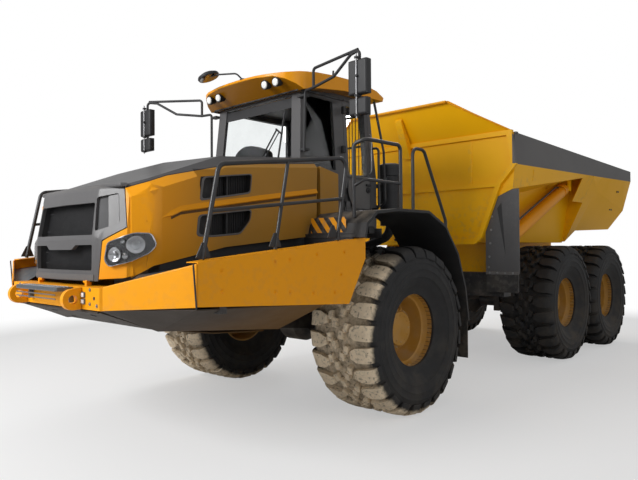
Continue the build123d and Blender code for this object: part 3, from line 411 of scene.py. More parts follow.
def mottle_group():
    """Uneven colour and gloss of sprayed or moulded surfaces, with a fine height."""
    tree, given, out = new_group("Mottle", {"Colour": (0.5, 0.5, 0.5, 1), "Depth": 0.15, "Scale": 3.0,
                                            "Roughness": 0.5, "Grain": 60.0},
                                 ["Colour", "Roughness", "Height"])
    broad = noise(tree, given["Scale"])
    darker = add(tree, "HueSaturation", Color=given["Colour"], Value=0.62, Saturation=1.06).outputs[0]
    share = product(tree, ramp(tree, broad, 0.35, 0.75), given["Depth"])
    drift = product(tree, math_node(tree, "SUBTRACT", broad, 0.5), 0.25)
    linked(tree, out, {"Colour": blend_colour(tree, share, given["Colour"], darker),
                       "Roughness": math_node(tree, "ADD", given["Roughness"], drift, clamp=True),
                       "Height": noise(tree, given["Grain"], 3.0)})


def wear_group():
    """Colour rubbed off along outer edges, broken up by noise."""
    tree, given, out = new_group("Edge wear", {"Colour": (0.5, 0.5, 0.5, 1), "Bare": (0.2, 0.19, 0.18, 1),
                                               "Amount": 0.5}, ["Colour"])
    edge = ramp(tree, add(tree, "NewGeometry").outputs["Pointiness"], 0.53, 0.6)
    broken = ramp(tree, noise(tree, 14.0, 6.0), 0.48, 0.62)
    mask = math_node(tree, "MULTIPLY", product(tree, edge, broken), given["Amount"], clamp=True)
    linked(tree, out, {"Colour": blend_colour(tree, mask, given["Colour"], given["Bare"])})


def dust_group():
    """Pale dust on upward faces and towards the ground."""
    tree, given, out = new_group("Dust", {"Colour": (0.5, 0.5, 0.5, 1), "Dust": (0.42, 0.34, 0.25, 1),
                                          "Amount": 0.3, "Roughness": 0.5}, ["Colour", "Roughness"])
    low = product(tree, ramp(tree, place_of(tree)[2], 1.9, 0.2), 0.7)
    where = math_node(tree, "ADD", product(tree, ramp(tree, upward(tree), 0.2, 1.0), 0.55), low)
    patchy = ramp(tree, noise(tree, 5.0, 8.0), 0.35, 0.7)
    mask = math_node(tree, "MULTIPLY", product(tree, where, patchy), given["Amount"], clamp=True)
    linked(tree, out, {"Colour": blend_colour(tree, mask, given["Colour"], given["Dust"]),
                       "Roughness": math_node(tree, "ADD", given["Roughness"], product(tree, mask, 0.4),
                                              clamp=True)})


def grouped(tree, group, **inputs):
    made = tree.nodes.new("ShaderNodeGroup")
    made.node_tree = bpy.data.node_groups[group]
    return linked(tree, made, inputs).outputs


def blank(name):
    """New material with its Principled BSDF."""
    material = bpy.data.materials.new(name)
    material.use_nodes = True
    FINISHES[name] = material
    return material.node_tree, material.node_tree.nodes["Principled BSDF"]


def surface(name, colour, roughness=0.4, metallic=0.0, coat=0.0, depth=0.2, scale=1.5, wear=0.3,
            dust=0.3, grain=220.0, bump=0.05, shine=0.4, bare=(0.18, 0.17, 0.16, 1)):
    """A painted, moulded or metal finish; colour may be a function that gives a socket."""
    tree, shader = blank(name)
    base = colour(tree) if callable(colour) else (*colour, 1.0)
    spread = grouped(tree, "Mottle", Colour=base, Depth=depth, Scale=scale,
                     Roughness=roughness, Grain=grain)
    worn = grouped(tree, "Edge wear", Colour=spread["Colour"], Bare=bare, Amount=wear)
    dusty = grouped(tree, "Dust", Colour=worn["Colour"], Amount=dust, Roughness=spread["Roughness"])
    height = add(tree, "Bump", Height=spread["Height"], Strength=bump, Distance=0.002)
    linked(tree, shader, {"Base Color": dusty["Colour"], "Roughness": dusty["Roughness"],
                          "Metallic": metallic, "Coat Weight": coat, "Coat Roughness": 0.12,
                          "Specular IOR Level": shine, "Normal": height.outputs[0]})


def clear(name, colour, roughness, transmission, ior=1.45):
    """Smeared glass or clear plastic."""
    tree, shader = blank(name)
    smear = ramp(tree, noise(tree, 4.0, 6.0), 0.3, 0.8)
    tone = blend_colour(tree, product(tree, smear, 0.25), colour, [c * 0.8 for c in colour])
    rough = math_node(tree, "ADD", product(tree, smear, 0.06), roughness)
    linked(tree, shader, {"Base Color": tone, "Roughness": rough, "Transmission Weight": transmission,
                          "IOR": ior})


def bed_colour(paint):
    """Yellow bed with a grey band along the top of its sides, on the outside only."""
    band_low, band_rise = 3.05, 0.15 / 5.416
    bed_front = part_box("bed_shell")[0][1] + 0.6

    def colour(tree):
        x, y, z = place_of(tree)
        outside = ramp(tree, math_node(tree, "ABSOLUTE", x), 1.785, 1.79)
        line = math_node(tree, "MULTIPLY_ADD", y, band_rise, band_low - band_rise * bed_front)
        above = ramp(tree, math_node(tree, "SUBTRACT", z, line), -0.002, 0.002)
        return blend_colour(tree, product(tree, outside, above), paint.bed, paint.band)
    return colour


def shaded_brown(colour):
    """Colour of the paint turned brown by painted shade, such as the hood's sides have towards the cab."""
    return [0.2 * own + 0.8 * brown_shade for own, brown_shade in zip(colour, (0.34, 0.19, 0.04))]


def tread_colour(paint):
    """Black rubber whose tread is caked with pale dust at the front and below; the top and back stay black as
    painted shade of the mudguard.
    """
    crown = FRONT_WHEEL.z - 0.055

    def colour(tree):
        _, y, z = place_of(tree)
        along = math_node(tree, "SUBTRACT", y, FRONT_WHEEL.y)
        height = math_node(tree, "SUBTRACT", z, FRONT_WHEEL.z)
        radius = math_node(tree, "SQRT", math_node(tree, "ADD", product(tree, along, along),
                                                   product(tree, height, height)))
        tread = ramp(tree, math_node(tree, "MULTIPLY_ADD", noise(tree, 18), 0.05, radius),
                     crown - 0.01, crown + 0.04)
        # painted shade: no dust on the top and back of the tread, which the mudguard shades
        out_of_guard_shade = ramp(tree, math_node(tree, "ADD", product(tree, along, -1.0),
                                     product(tree, height, -0.55)), -0.2, 0.35)
        mask = product(tree, tread, out_of_guard_shade, ramp(tree, noise(tree, 30.0, 6.0), 0.22, 0.5))
        dusty = blend_colour(tree, noise(tree, 9.0, 6.0), paint.mud, [c * 0.78 for c in paint.mud])
        return blend_colour(tree, mask, paint.rubber, dusty)
    return colour


def belly_shade_and_dirt_colour(tree):
    """Yellow paint under the truck, darkened by painted shade and dirt: dark at the front and ochre towards
    the wheels.
    """
    back = ramp(tree, place_of(tree)[1], FRONT_WHEEL.y - 2.9, FRONT_WHEEL.y - 1.4)
    return blend_colour(tree, back, (0.045, 0.034, 0.026), (0.15, 0.075, 0.018))


def shaded_underside_colour(tone):
    """Paint that is darker where it faces down: painted shade."""
    return lambda tree: blend_colour(tree, ramp(tree, upward(tree), -0.75, -0.15),
                                     [c * 0.42 for c in tone], tone)


def hatch_colour(paint):
    """Slanting yellow and black stripes."""
    def colour(tree):
        x, _, z = place_of(tree)
        across = math_node(tree, "ADD", x, product(tree, z, 0.8))
        wave = math_node(tree, "FRACT", product(tree, across, 7.0))
        return blend_colour(tree, ramp(tree, wave, 0.48, 0.52), paint.body, paint.black)
    return colour


def make_finishes(paint):
    for group in (mottle_group, wear_group, dust_group):
        group()
    surface("yellow_paint", paint.body, 0.42, shine=0.2, coat=0.06, depth=0.1, scale=0.7,
            wear=0.12, dust=0.05)
    # cowl in painted shade: the body colour turned brown
    surface("cowl_paint", shaded_brown(paint.body), 0.42, shine=0.2, coat=0.06, depth=0.1,
            wear=0.1, dust=0.05)
    surface("bed_paint", bed_colour(paint), 0.45, shine=0.2, coat=0.05, depth=0.12,
            scale=0.7, wear=0.15, dust=0.06)
    # roof with painted shade on faces turned down, such as the brow
    surface("roof_paint", shaded_underside_colour(paint.body), 0.34, coat=0.12, depth=0.1, wear=0.1,
            dust=0.04, shine=0.25)
    surface("grey_paint", paint.grey, 0.42, coat=0.15, depth=0.25, scale=1.2, dust=0.2)
    surface("band_paint", paint.band, 0.45, coat=0.1, depth=0.25, dust=0.25)
    surface("black_paint", paint.black, 0.38, coat=0.1, depth=0.3, dust=0.4,
            bare=(0.12, 0.11, 0.1, 1))
    surface("black_plastic", paint.black, 0.55, depth=0.25, wear=0.1, dust=0.25,
            grain=420.0, bump=0.25, bare=(0.06, 0.06, 0.06, 1))
    surface("guard_plastic", paint.guard, 0.6, depth=0.35, scale=2.5, wear=0.25, dust=0.5,
            grain=300.0, bump=0.3, bare=(0.07, 0.07, 0.07, 1))
    surface("rim_paint", paint.rim, 0.5, depth=0.45, scale=3.0, wear=0.6, dust=0.35,
            bump=0.15, bare=(0.45, 0.34, 0.2, 1))
    surface("tyre_rubber", paint.rubber, 0.72, depth=0.3, scale=5.0, wear=0.5, dust=0.15,
            grain=260.0, bump=0.35, bare=(0.05, 0.05, 0.05, 1))
    surface("dusty_rubber", tread_colour(paint), 0.75, depth=0.3, scale=6.0, wear=0.3,
            dust=0.08, grain=200.0, bump=0.5, bare=(0.07, 0.065, 0.06, 1))
    surface("flap_rubber", paint.rubber, 0.7, depth=0.3, dust=0.4, bump=0.3)
    surface("bare_steel", (0.3, 0.3, 0.31), 0.42, metallic=0.9, depth=0.5, scale=6.0,
            dust=0.4, bump=0.15)
    surface("chrome_rod", (0.75, 0.75, 0.76), 0.14, metallic=1.0, depth=0.1, wear=0.0,
            dust=0.15, bump=0.02)
    surface("seat_cloth", (0.035, 0.035, 0.04), 0.85, depth=0.3, wear=0.0, dust=0.1,
            grain=900.0, bump=0.6)
    surface("hatch_paint", hatch_colour(paint), 0.45, depth=0.2, dust=0.4)
    surface("white_lens", (0.8, 0.8, 0.78), 0.2, coat=0.7, depth=0.1, wear=0.0, dust=0.1)
    surface("reflector", (0.36, 0.36, 0.37), 0.2, metallic=0.8, depth=0.1, wear=0.0, dust=0.0)
    surface("mirror_glass", (0.65, 0.67, 0.68), 0.05, metallic=1.0, depth=0.05, wear=0.0,
            dust=0.05, bump=0.0)
    surface("tread_plate", (0.13, 0.15, 0.17), 0.4, metallic=0.6, depth=0.4, scale=8.0,
            dust=0.3, bump=0.2)
    # painted shadow under the crease's ledge
    surface("hood_shade", (0.1, 0.045, 0.004), 0.6, depth=0.1, wear=0.0, dust=0.0)
    # painted shade and dirt under the truck
    surface("belly_paint", belly_shade_and_dirt_colour, 0.6, depth=0.4, dust=0.05, wear=0.1, shine=0.2)
    surface("lit_lens", (0.9, 0.9, 0.88), 0.25, coat=0.5, depth=0.05, wear=0.0, dust=0.0)
    surface("lamp_dark", (0.02, 0.02, 0.022), 0.15, coat=0.6, depth=0.2, wear=0.0, dust=0.05)
    clear("tinted_glass", (0.94, 0.955, 0.955), 0.01, 1.0, 1.02)
    clear("cover_glass", (0.95, 0.96, 0.97), 0.01, 1.0, 1.12)
    clear("lamp_glass", (0.85, 0.87, 0.88), 0.03, 0.95)


# --- sizes and colours that a user would change ---------------------------------------------------------
def colour_of(name, description, value):
    return bpy.props.FloatVectorProperty(name=name, description=description, subtype="COLOR", size=3,
                                         min=0, max=1, default=value)


def length_of(name, description, value):
    return bpy.props.FloatProperty(name=name, description=description, default=value, min=0,
                                   unit="LENGTH", precision=4)


class TruckPaint(bpy.types.PropertyGroup):
    """Colours of the truck's finishes."""
    body: colour_of("Body", "Hood, panels and roof", (0.84, 0.33, 0.003))
    bed: colour_of("Bed", "Outside and inside of the load bed", (0.93, 0.47, 0.002))
    band: colour_of("Band", "Grey band along the bed's sides", (0.115, 0.11, 0.108))
    grey: colour_of("Grey", "Mask, cab and shields", (0.088, 0.086, 0.088))
    black: colour_of("Black", "Chassis, rails and decks", (0.022, 0.022, 0.024))
    guard: colour_of("Mudguard", "Moulded mudguards", (0.02, 0.02, 0.021))
    rubber: colour_of("Rubber", "Clean tyre rubber", (0.018, 0.018, 0.019))
    mud: colour_of("Mud", "Dry dust in the front treads", (0.9, 0.74, 0.53))
    rim: colour_of("Rim", "Wheel rims", (0.48, 0.24, 0.035))


class TruckTyre(bpy.types.PropertyGroup):
    """Tread of the six tyres."""
    pitches: bpy.props.IntProperty(name="Pitches", description="Lugs around one tyre", default=25, min=8)
    shoulder: length_of("Shoulder", "Radius where the lugs end on the sidewall", 0.8)


class TruckFittings(bpy.types.PropertyGroup):
    """Small fittings."""
    bolt: length_of("Bolt", "Radius of the panel bolts' heads", 0.013)
    hose: length_of("Hose", "Radius of the hydraulic hoses", 0.017)


def settings(kind):
    return getattr(bpy.context.scene, "truck_" + kind)


# --- stage ----------------------------------------------------------------------------------------------
class TRUCK_OT_stage(bpy.types.Operator):
    """Camera, lights, world and a pale floor"""
    bl_idname = "truck.stage"
    bl_label = "Stage"

    def execute(self, context):
        self.camera()
        self.lights()
        self.floor()
        self.world()
        context.scene.view_settings.view_transform = "Standard"
        return {"FINISHED"}

    def camera(self):
        data = bpy.data.cameras.new("view")
        data.sensor_width, data.lens = 36, 34.19        # mm
        camera = bpy.data.objects.new("view", data)
        bpy.context.collection.objects.link(camera)
        azimuth, pitch, roll = (math.radians(v) for v in (42.94, 0.81, -0.43))
        camera.matrix_world = (Matrix.Translation(at(5.626, -5.669, 1.853)) @ Matrix.Rotation(azimuth, 4, "Z")
                               @ Matrix.Rotation(math.pi / 2 + pitch, 4, "X") @ Matrix.Rotation(roll, 4, "Z"))
        bpy.context.scene.camera = camera

    def lights(self):
        # name, place, what it faces, size, power
        for name, place, target, size, power in (
                ("key", (-1.5, -10.5, 6.5), (0.0, 1.0, 1.8), 4.5, 1020),
                ("fill", (10.0, -2.0, 5.0), (0.5, 1.5, 1.5), 6.0, 120),
                ("back", (-6.0, 9.5, 8.0), (0.0, 3.0, 2.0), 6.0, 500)):
            data = bpy.data.lights.new(name, "AREA")
            data.energy = power
            data.size = size
            lamp = bpy.data.objects.new(name, data)
            lamp.location = at(*place)
            lamp.rotation_euler = (at(*target) - lamp.location).to_track_quat("-Z", "Y").to_euler()
            bpy.context.collection.objects.link(lamp)

    def floor(self):
        bpy.ops.object.select_all(action="DESELECT")
        bpy.ops.mesh.primitive_grid_add(size=160, x_subdivisions=8, y_subdivisions=8, location=(0, 0, 0))
        floor = bpy.context.object
        floor.name = "floor"
        material = bpy.data.materials.new("pale_floor")
        material.use_nodes = True
        tree = material.node_tree
        shader = tree.nodes["Principled BSDF"]
        shader.inputs["Base Color"].default_value = (0.8, 0.8, 0.8, 1)
        shader.inputs["Roughness"].default_value = 0.9
        shader.inputs["Specular IOR Level"].default_value = 0.1
        # far away the floor melts into the white of the world
        path = add(tree, "LightPath")
        place = add(tree, "TexCoord").outputs["Object"]
        reach = add(tree, "VectorMath", {"operation": "LENGTH"}, i0=place).outputs["Value"]
        far = math_node(tree, "MAXIMUM", ramp(tree, reach, 6.0, 12.0), 0.45)
        white = add(tree, "Emission", Color=(1, 1, 1, 1), Strength=1.0)
        seen = math_node(tree, "MULTIPLY", far, path.outputs["Is Camera Ray"])
        mixed = add(tree, "MixShader", Fac=seen, i1=shader.outputs[0], i2=white.outputs[0])
        tree.links.new(mixed.outputs[0], tree.nodes["Material Output"].inputs["Surface"])
        floor.data.materials.append(material)

    def world(self):
        world = bpy.data.worlds.new("studio")
        world.use_nodes = True
        bpy.context.scene.world = world
        tree = world.node_tree
        path = add(tree, "LightPath")
        seen = math_node(tree, "MAXIMUM", path.outputs["Is Camera Ray"],
                         path.outputs["Is Transmission Ray"])
        shown = math_node(tree, "MAXIMUM", seen, product(tree, path.outputs["Is Glossy Ray"], 0.3))
        strength = add(tree, "MapRange", {"clamp": True}, Value=shown, To_Min=0.31, To_Max=1.0).outputs[0]
        background = tree.nodes["Background"]
        background.inputs["Color"].default_value = (1, 1, 1, 1)
        tree.links.new(strength, background.inputs["Strength"])


# --- finishes on the frame's own pieces -----------------------------------------------------------------
PAINTED = {
    "yellow_paint": ("bumper", "corner_panels", "side_panels", "hoist_barrel_left", "hoist_barrel_right"),
    "cowl_paint": ("cowl_panels",),
    "bed_paint": ("bed_shell",),
    "grey_paint": ("cab_shell", "door_frame", "bed_shields"),
    "black_paint": ("front_rails", "front_crossmembers", "front_head", "cab_subframe", "front_axle",
                    "ladder", "handrails_left", "handrail_right", "grab_rails", "hitch_casting",
                    "rear_neck", "rear_rails", "rear_crossmembers", "walking_beams", "rear_axles",
                    "steer_barrel_left", "steer_barrel_right"),
    "tread_plate": ("front_step", "decks"),
    "guard_plastic": ("mudguards",),
    "black_plastic": ("air_cleaner", "dash_console", "mirrors"),
    "bare_steel": ("engine_block",),
    "chrome_rod": ("hoist_rod_left", "hoist_rod_right", "steer_rod_left", "steer_rod_right"),
    "tinted_glass": ("cab_glass", "door_glass"),
}
# rounding of the edges, where it isn't 4 mm
ROUNDING = {"handrails_left": 0, "handrail_right": 0, "grab_rails": 0, "hoist_rod_left": 0.001,
            "hoist_rod_right": 0.001, "cab_glass": 0.002, "door_glass": 0.002, "ladder": 0.003,
            "bed_shell": 0.005, "bumper": 0.008, "air_cleaner": 0.008, "mudguards": 0.01,
            "corner_panels": 0.01}


class TRUCK_OT_finishes(bpy.types.Operator):
    """Paints, plastics, rubber, glass and metal, with rounded copies of the frame's pieces"""
    bl_idname = "truck.finishes"
    bl_label = "Finishes"

    def execute(self, context):
        make_finishes(settings("paint"))
        for finish, nodes in PAINTED.items():
            for node in nodes:
                softened(node, finish, ROUNDING.get(node, 0.004))
        return {"FINISHED"}


# --- wheels ---------------------------------------------------------------------------------------------
# of the tyre's half section: distance from its middle plane, radius
TYRE_SECTION = [(0.33, 0.401), (0.345, 0.47), (0.368, 0.5), (0.405, 0.56), (0.432, 0.64), (0.437, 0.72),
                (0.425, 0.79), (0.398, 0.845), (0.34, 0.87), (0.2, 0.876), (0.0, 0.878)]
LUG_SHARE = 0.93        # part of the pitch that lugs are laid out in


def on_wheels(kind, model, ending, finishes):
    """Copies of a left front model for all six wheels, each in place of the CAD node."""
    for axle, y in AXLES.items():
        for side, sign in SIDES.items():
            piece = twin(model, f"{kind}_{axle}_{side}_{ending}")
            if sign < 0:
                moved(piece, MIRROR)
            moved(piece, Matrix.Translation((0, y - FRONT_WHEEL.y, 0)))
            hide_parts(f"{kind}_{axle}_{side}")
            fit(piece, f"wheel_{axle}_{side}", finishes[axle])
    bpy.data.objects.remove(model)


class TRUCK_OT_tyres(bpy.types.Operator):
    """Six tyres: ribbed casing and staggered tread lugs"""
    bl_idname = "truck.tyres"
    bl_label = "Tyres"

    def execute(self, context):
        self.sizes = settings("tyre")
        model = joined("tyre", [self.casing(FRONT_WHEEL)] + self.lugs(FRONT_WHEEL))
        finishes = {"front": "dusty_rubber", "mid": "tyre_rubber", "rear": "tyre_rubber"}
        on_wheels("tyre", model, "treaded", finishes)
        return {"FINISHED"}

    def casing(self, hub):
        """Outer skin with three ribs on each stretch of the sidewall."""
        profile = [(0.0, 0.401)]
        for (u0, r0), (u1, r1) in zip(TYRE_SECTION, TYRE_SECTION[1:]):
            profile.append((u0, r0))
            if 0.5 < r0 < 0.75:
                slope = math.atan2(r1 - r0, u1 - u0)
                for share, lift in ((0.4, 0.0), (0.48, 0.006), (0.6, 0.0)):
                    profile.append((u0 + (u1 - u0) * share + math.sin(slope) * lift,
                                    r0 + (r1 - r0) * share - math.cos(slope) * lift))
        profile.append(TYRE_SECTION[-1])
        return turned("casing", profile + [(-u, r) for u, r in reversed(profile)], hub, X, 144, angle=50)

    def lugs(self, hub):
        """The lug of each row and its neighbour on the tyre's other half, repeated round the tyre."""
        count = self.sizes.pitches
        turn = math.tau / count
        pieces = []
        for half, start in ((1, 0.0), (-1, 0.5)):
            for kind in (self.shoulder_lug, self.inner_block):
                lug = kind(hub, turn, half)
                ringed(lug, count, hub, X, start * turn)
                pieces.append(lug)
        return pieces

    def shoulder_lug(self, hub, turn, half):
        """Wide lug that runs over the shoulder and down onto the sidewall, pointed at its inner end."""
        width = 0.7 * turn * LUG_SHARE
        end = self.sizes.shoulder
        profile = [(0.15, 0.862), (0.15, 0.92), (0.166, 0.9355), (0.24, 0.9345), (0.32, 0.93),
                   (0.372, 0.916), (0.404, 0.892), (0.425, 0.856), (0.4365, end + 0.012), (0.434, end),
                   (0.422, end), (0.392, end + 0.038), (0.36, 0.862)]
        points = [hub + Vector((half * u, -width / 2, r)) for u, r in profile]
        piece = plate("lug", points, Vector((0, width, 0)))
        edit(piece, "DESELECT")
        leave_edit()
        for vertex in piece.data.vertices:
            vertex.select = abs(vertex.co.x - hub.x) < 0.18
        edit_kept(piece)
        bpy.ops.transform.resize(value=(1, 0.5, 1), center_override=hub)
        leave_edit()
        rounded(piece, 0.009, 2, 25)
        return moved(piece, around(hub, Matrix.Shear("XZ", 4, (0.1 * half, 0))))

    def inner_block(self, hub, turn, half):
        """Two small lobes on a diagonal between the shoulder lugs and the middle of the tread."""
        pitch = turn * LUG_SHARE
        lobes = []
        for across, along in ((0.11, 0.2), (0.045, -0.14)):
            centre = hub + Vector((half * across, along * pitch, 0.866))
            u, v = half * 0.036, pitch * 0.22
            corners = [(-u, -v * 0.8), (u * 0.6, -v), (u, v * 0.7), (-u * 0.5, v)]
            points = [centre + Vector((x, y, 0)) for x, y in corners]
            lobes.append(plate("lobe", points, Vector((0, 0, 0.0685)), 0.008, 2))
        neck = hub + Vector((half * 0.078, 0.03 * pitch, 0.866))
        lobes.append(block("neck", neck - Vector((0.026, 0.022, 0)), neck + Vector((0.026, 0.022, 0.055)),
                           0.006, 1))
        return joined("lobes", lobes)


# of the rim, from its outer flange inwards: distance from the middle plane, radius
RIM_PROFILE = [(0.332, 0.402), (0.332, 0.452), (0.326, 0.458), (0.312, 0.457), (0.305, 0.446), (0.3, 0.436),
               (0.288, 0.428), (0.262, 0.42), (0.256, 0.412), (0.25, 0.404), (0.236, 0.398), (0.196, 0.386),
               (0.188, 0.378), (0.182, 0.366), (0.12, 0.36)]


class TRUCK_OT_rims(bpy.types.Operator):
    """Six rims with their flanges, wells, hubs and bolts"""
    bl_idname = "truck.rims"
    bl_label = "Rims"

    def execute(self, context):
        hub = FRONT_WHEEL
        model = joined("rim", [self.barrel(hub), self.hub(hub)] + self.details(hub))
        on_wheels("rim", model, "turned", dict.fromkeys(AXLES, "rim_paint"))
        return {"FINISHED"}

    def barrel(self, hub):
        """Flanges, bead seats, the well's steps and the disc, as one closed wall."""
        disc = [(0.02, 0.352), (-0.02, 0.33), (-0.03, 0.26), (-0.03, 0.15)]
        back = [(-0.06, 0.15), (-0.06, 0.34), (-0.2, 0.36), (-0.3, 0.376), (-0.33, 0.38),
                (-0.33, 0.456), (-0.318, 0.458), (-0.304, 0.454), (-0.302, 0.401)]
        seat = [(0.302, 0.401), (0.304, 0.455), (0.318, 0.4585)]
        profile = RIM_PROFILE[4:] + disc + back + seat + RIM_PROFILE[1:5]
        return turned("barrel", profile, hub, X, 96, angle=40)

    def hub(self, hub):
        profile = [(-0.26, 0.0), (-0.26, 0.225), (0.02, 0.23), (0.026, 0.224), (0.1, 0.222), (0.104, 0.198),
                   (0.14, 0.194), (0.147, 0.186), (0.147, 0.06), (0.151, 0.052), (0.151, 0.0)]
        return turned("hub", profile, hub, X, 96, angle=35)

    def details(self, hub):
        corners = ((-0.009, 0.196), (0.009, 0.196), (0.006, 0.219), (-0.006, 0.219))
        tooth = plate("tooth", [hub + Vector((0.1, y, z)) for y, z in corners], X * 0.028, 0.002, 1)
        ringed(tooth, 44, hub)
        studs = ringed(bolt("stud", hub + Vector((-0.028, 0, 0.3)), X, 0.014, 0.022), 16, hub)
        caps = ringed(bolt("cap", hub + Vector((0.148, 0, 0.15)), X, 0.008, 0.006), 12, hub)
        places = ((0.17, 0.05, 0.372), (0.215, 0.05, 0.374), (0.25, 0.06, 0.392))
        valve = tube("valve", [hub + Vector(place) for place in places], 0.007, 0.015)
        wedge = block("wedge", hub + Vector((0.24, -0.03, -0.405)), hub + Vector((0.262, 0.03, -0.384)),
                      0.004, 2)
        return [tooth, studs, caps, valve, wedge]


# --- nose and hood --------------------------------------------------------------------------------------
NOSE_LINE = [(0.0, -3.19), (0.59, -3.15), (0.905, -2.985), (1.01, -2.8), (1.062, -2.06)]
# front-axle y, then x and z of the side's foot, shoulder and top edge
HOOD_SIDE = [(-2.96, 0.905, 1.615, 0.905, 2.31), (-2.8, 1.01, 1.715, 1.02, 2.375),
             (-2.06, 1.062, 1.875, 1.08, 2.63), (-0.82, 1.075, 1.995, 1.095, 2.74)]


def nose_point(s):
    """Place on the nose's plan line at a distance s along it from the middle."""
    side, left = (1 if s >= 0 else -1), abs(s)
    for (x0, y0), (x1, y1) in zip(NOSE_LINE, NOSE_LINE[1:]):
        run = math.hypot(x1 - x0, y1 - y0)
        if left <= run or x1 == NOSE_LINE[-1][0]:
            share = left / run
            return Vector((side * (x0 + (x1 - x0) * share), y0 + (y1 - y0) * share, 0))
        left -= run


LEAN, LEAN_FOOT = 0.16, 1.95            # slope of the nose's face, and the height where it starts
ROLL, ROLL_FOOT = 0.07, 2.375           # radius of its upper edge, and the height where that starts


def nose_lean(z):
    """How far the face stands back at a height: it leans above its lower half and rolls over on top."""
    top = min(max(z - ROLL_FOOT, 0.0), ROLL - 0.001)
    return LEAN * max(0.0, z - LEAN_FOOT) + ROLL - math.sqrt(ROLL ** 2 - top ** 2)


BEND_STEP = 0.012       # between the places on the plan line whose mean rounds its corners


def wrapped(piece):
    """Bend a piece drawn flat (x along the plan line, y inwards, z up) round the nose."""
    for vertex in piece.data.vertices:
        s, inward, z = vertex.co
        near = [nose_point(s + k * BEND_STEP) for k in range(-3, 4)]
        centre = sum(near, Vector()) / len(near)
        along = (near[-1] - near[0]).normalized()
        depth = inward + nose_lean(z)
        place = centre + Vector((-along.y, along.x, 0)) * depth
        vertex.co = at(place.x, place.y, z)
    edit(piece)
    return smooth(turned_out(piece))


def sliced(piece, axis, places):
    """Cut a piece across at places along an axis, so that it can bend there."""
    for place in places:
        edit(piece)
        point, normal = [0, 0, 0], [0, 0, 0]
        point[axis], normal[axis] = place, 1
        bpy.ops.mesh.bisect(plane_co=point, plane_no=normal)
        leave_edit()
    return piece


def cut_by(piece, cutters, operation="DIFFERENCE"):
    for cutter in cutters:
        finished(piece, "BOOLEAN", object=cutter, operation=operation, solver="MANIFOLD")
        bpy.data.objects.remove(cutter)
    return piece


def grown(outline, share):
    """The outline scaled about its middle."""
    centre = [sum(place[k] for place in outline) / len(outline) for k in (0, 1)]
    return [tuple(c + (v - c) * share for c, v in zip(centre, place)) for place in outline]


def flat(name, outline, near, far, corner=0.0, soften=0.0, segments=2):
    """Plate drawn flat in x and z, from one depth to another."""
    points = [Vector((s, near, z)) for s, z in outline]
    return plate(name, points, Vector((0, far - near, 0)), soften, segments, corner)


def rectangle(low, high):
    """Corners of a rectangle, given two that face each other."""
    return [low, (high[0], low[1]), high, (low[0], high[1])]


def sideways(outline, side):
    """The outline as it is for the left side (1), mirrored for the right (-1)."""
    return [(side * s, z) for s, z in outline]


def two_sided(outline):
    """Half outline, listed from the middle's foot to the middle's top, and its mirror image."""
    return outline + [(-s, z) for s, z in reversed(outline) if s]


def hood_side(y, z):
    """x of the hood's left side at a place."""
    rows = HOOD_SIDE
    for low, high in zip(rows, rows[1:]):
        if y <= high[0] or high is rows[-1]:
            share = min(max((y - low[0]) / (high[0] - low[0]), 0.0), 1.0)
            x0, z0, x1, z1 = (a + (b - a) * share for a, b in zip(low[1:], high[1:]))
            return x0 + (x1 - x0) * min(max((z - z0) / (z1 - z0), 0.0), 1.0)


def dressed(piece):
    """Lay a piece drawn flat (x outwards) against the hood's left side."""
    for vertex in piece.data.vertices:
        out, y, z = vertex.co
        vertex.co = at(hood_side(y, z) + out, y, z)
    return smooth(piece)


def side_plate(name, outline, near, far, corner=0.0, soften=0.0):
    points = [Vector((near, y, z)) for y, z in outline]
    return plate(name, points, Vector((far - near, 0, 0)), soften, 2, corner)


# distance along the nose's plan line, height
EAR = [(0.568, 2.318), (0.6, 2.019), (0.846, 2.088), (0.812, 2.352)]
EAR_PANEL = [(0.7, 2.33), (0.732, 2.05), (0.84, 2.083), (0.808, 2.345)]
EAR_FLOOR = [(0.572, 2.314), (0.603, 2.023), (0.738, 2.06), (0.706, 2.335)]
CORNER = [(0.65, 1.6), (0.688, 1.93), (0.735, 1.957), (0.926, 2.046), (0.868, 2.396), (0.905, 2.372),
          (0.985, 2.32), (0.985, 1.632), (0.9, 1.612)]
LAMP = [(0.755, 1.918), (0.996, 2.0), (1.132, 1.995), (1.172, 1.896), (1.12, 1.826), (0.948, 1.749),
        (0.772, 1.71), (0.724, 1.769)]
SCREEN_PITCH = 0.0175
# the same two, and the radius
LAMP_SPOTS = [(1.008, 1.898, 0.076), (0.826, 1.812, 0.062), (0.925, 1.8, 0.024), (0.905, 1.925, 0.02)]
# front-axle y, height
VENTS = [[(-2.35, 2.3), (-1.77, 2.4), (-1.75, 2.595), (-2.322, 2.52)],
         [(-2.38, 1.975), (-2.225, 1.968), (-1.89, 1.998), (-1.765, 2.14), (-1.752, 2.246),
          (-2.362, 2.168)]]
CREASE = [(-2.862, 2.099), (-2.636, 2.158), (-2.548, 2.2), (-2.153, 2.264), (-1.646, 2.343), (-0.83, 2.462)]
TOP_LINE = [(-2.956, 2.4), (-2.632, 2.52), (-2.117, 2.64), (-1.934, 2.68), (-0.82, 2.79)]


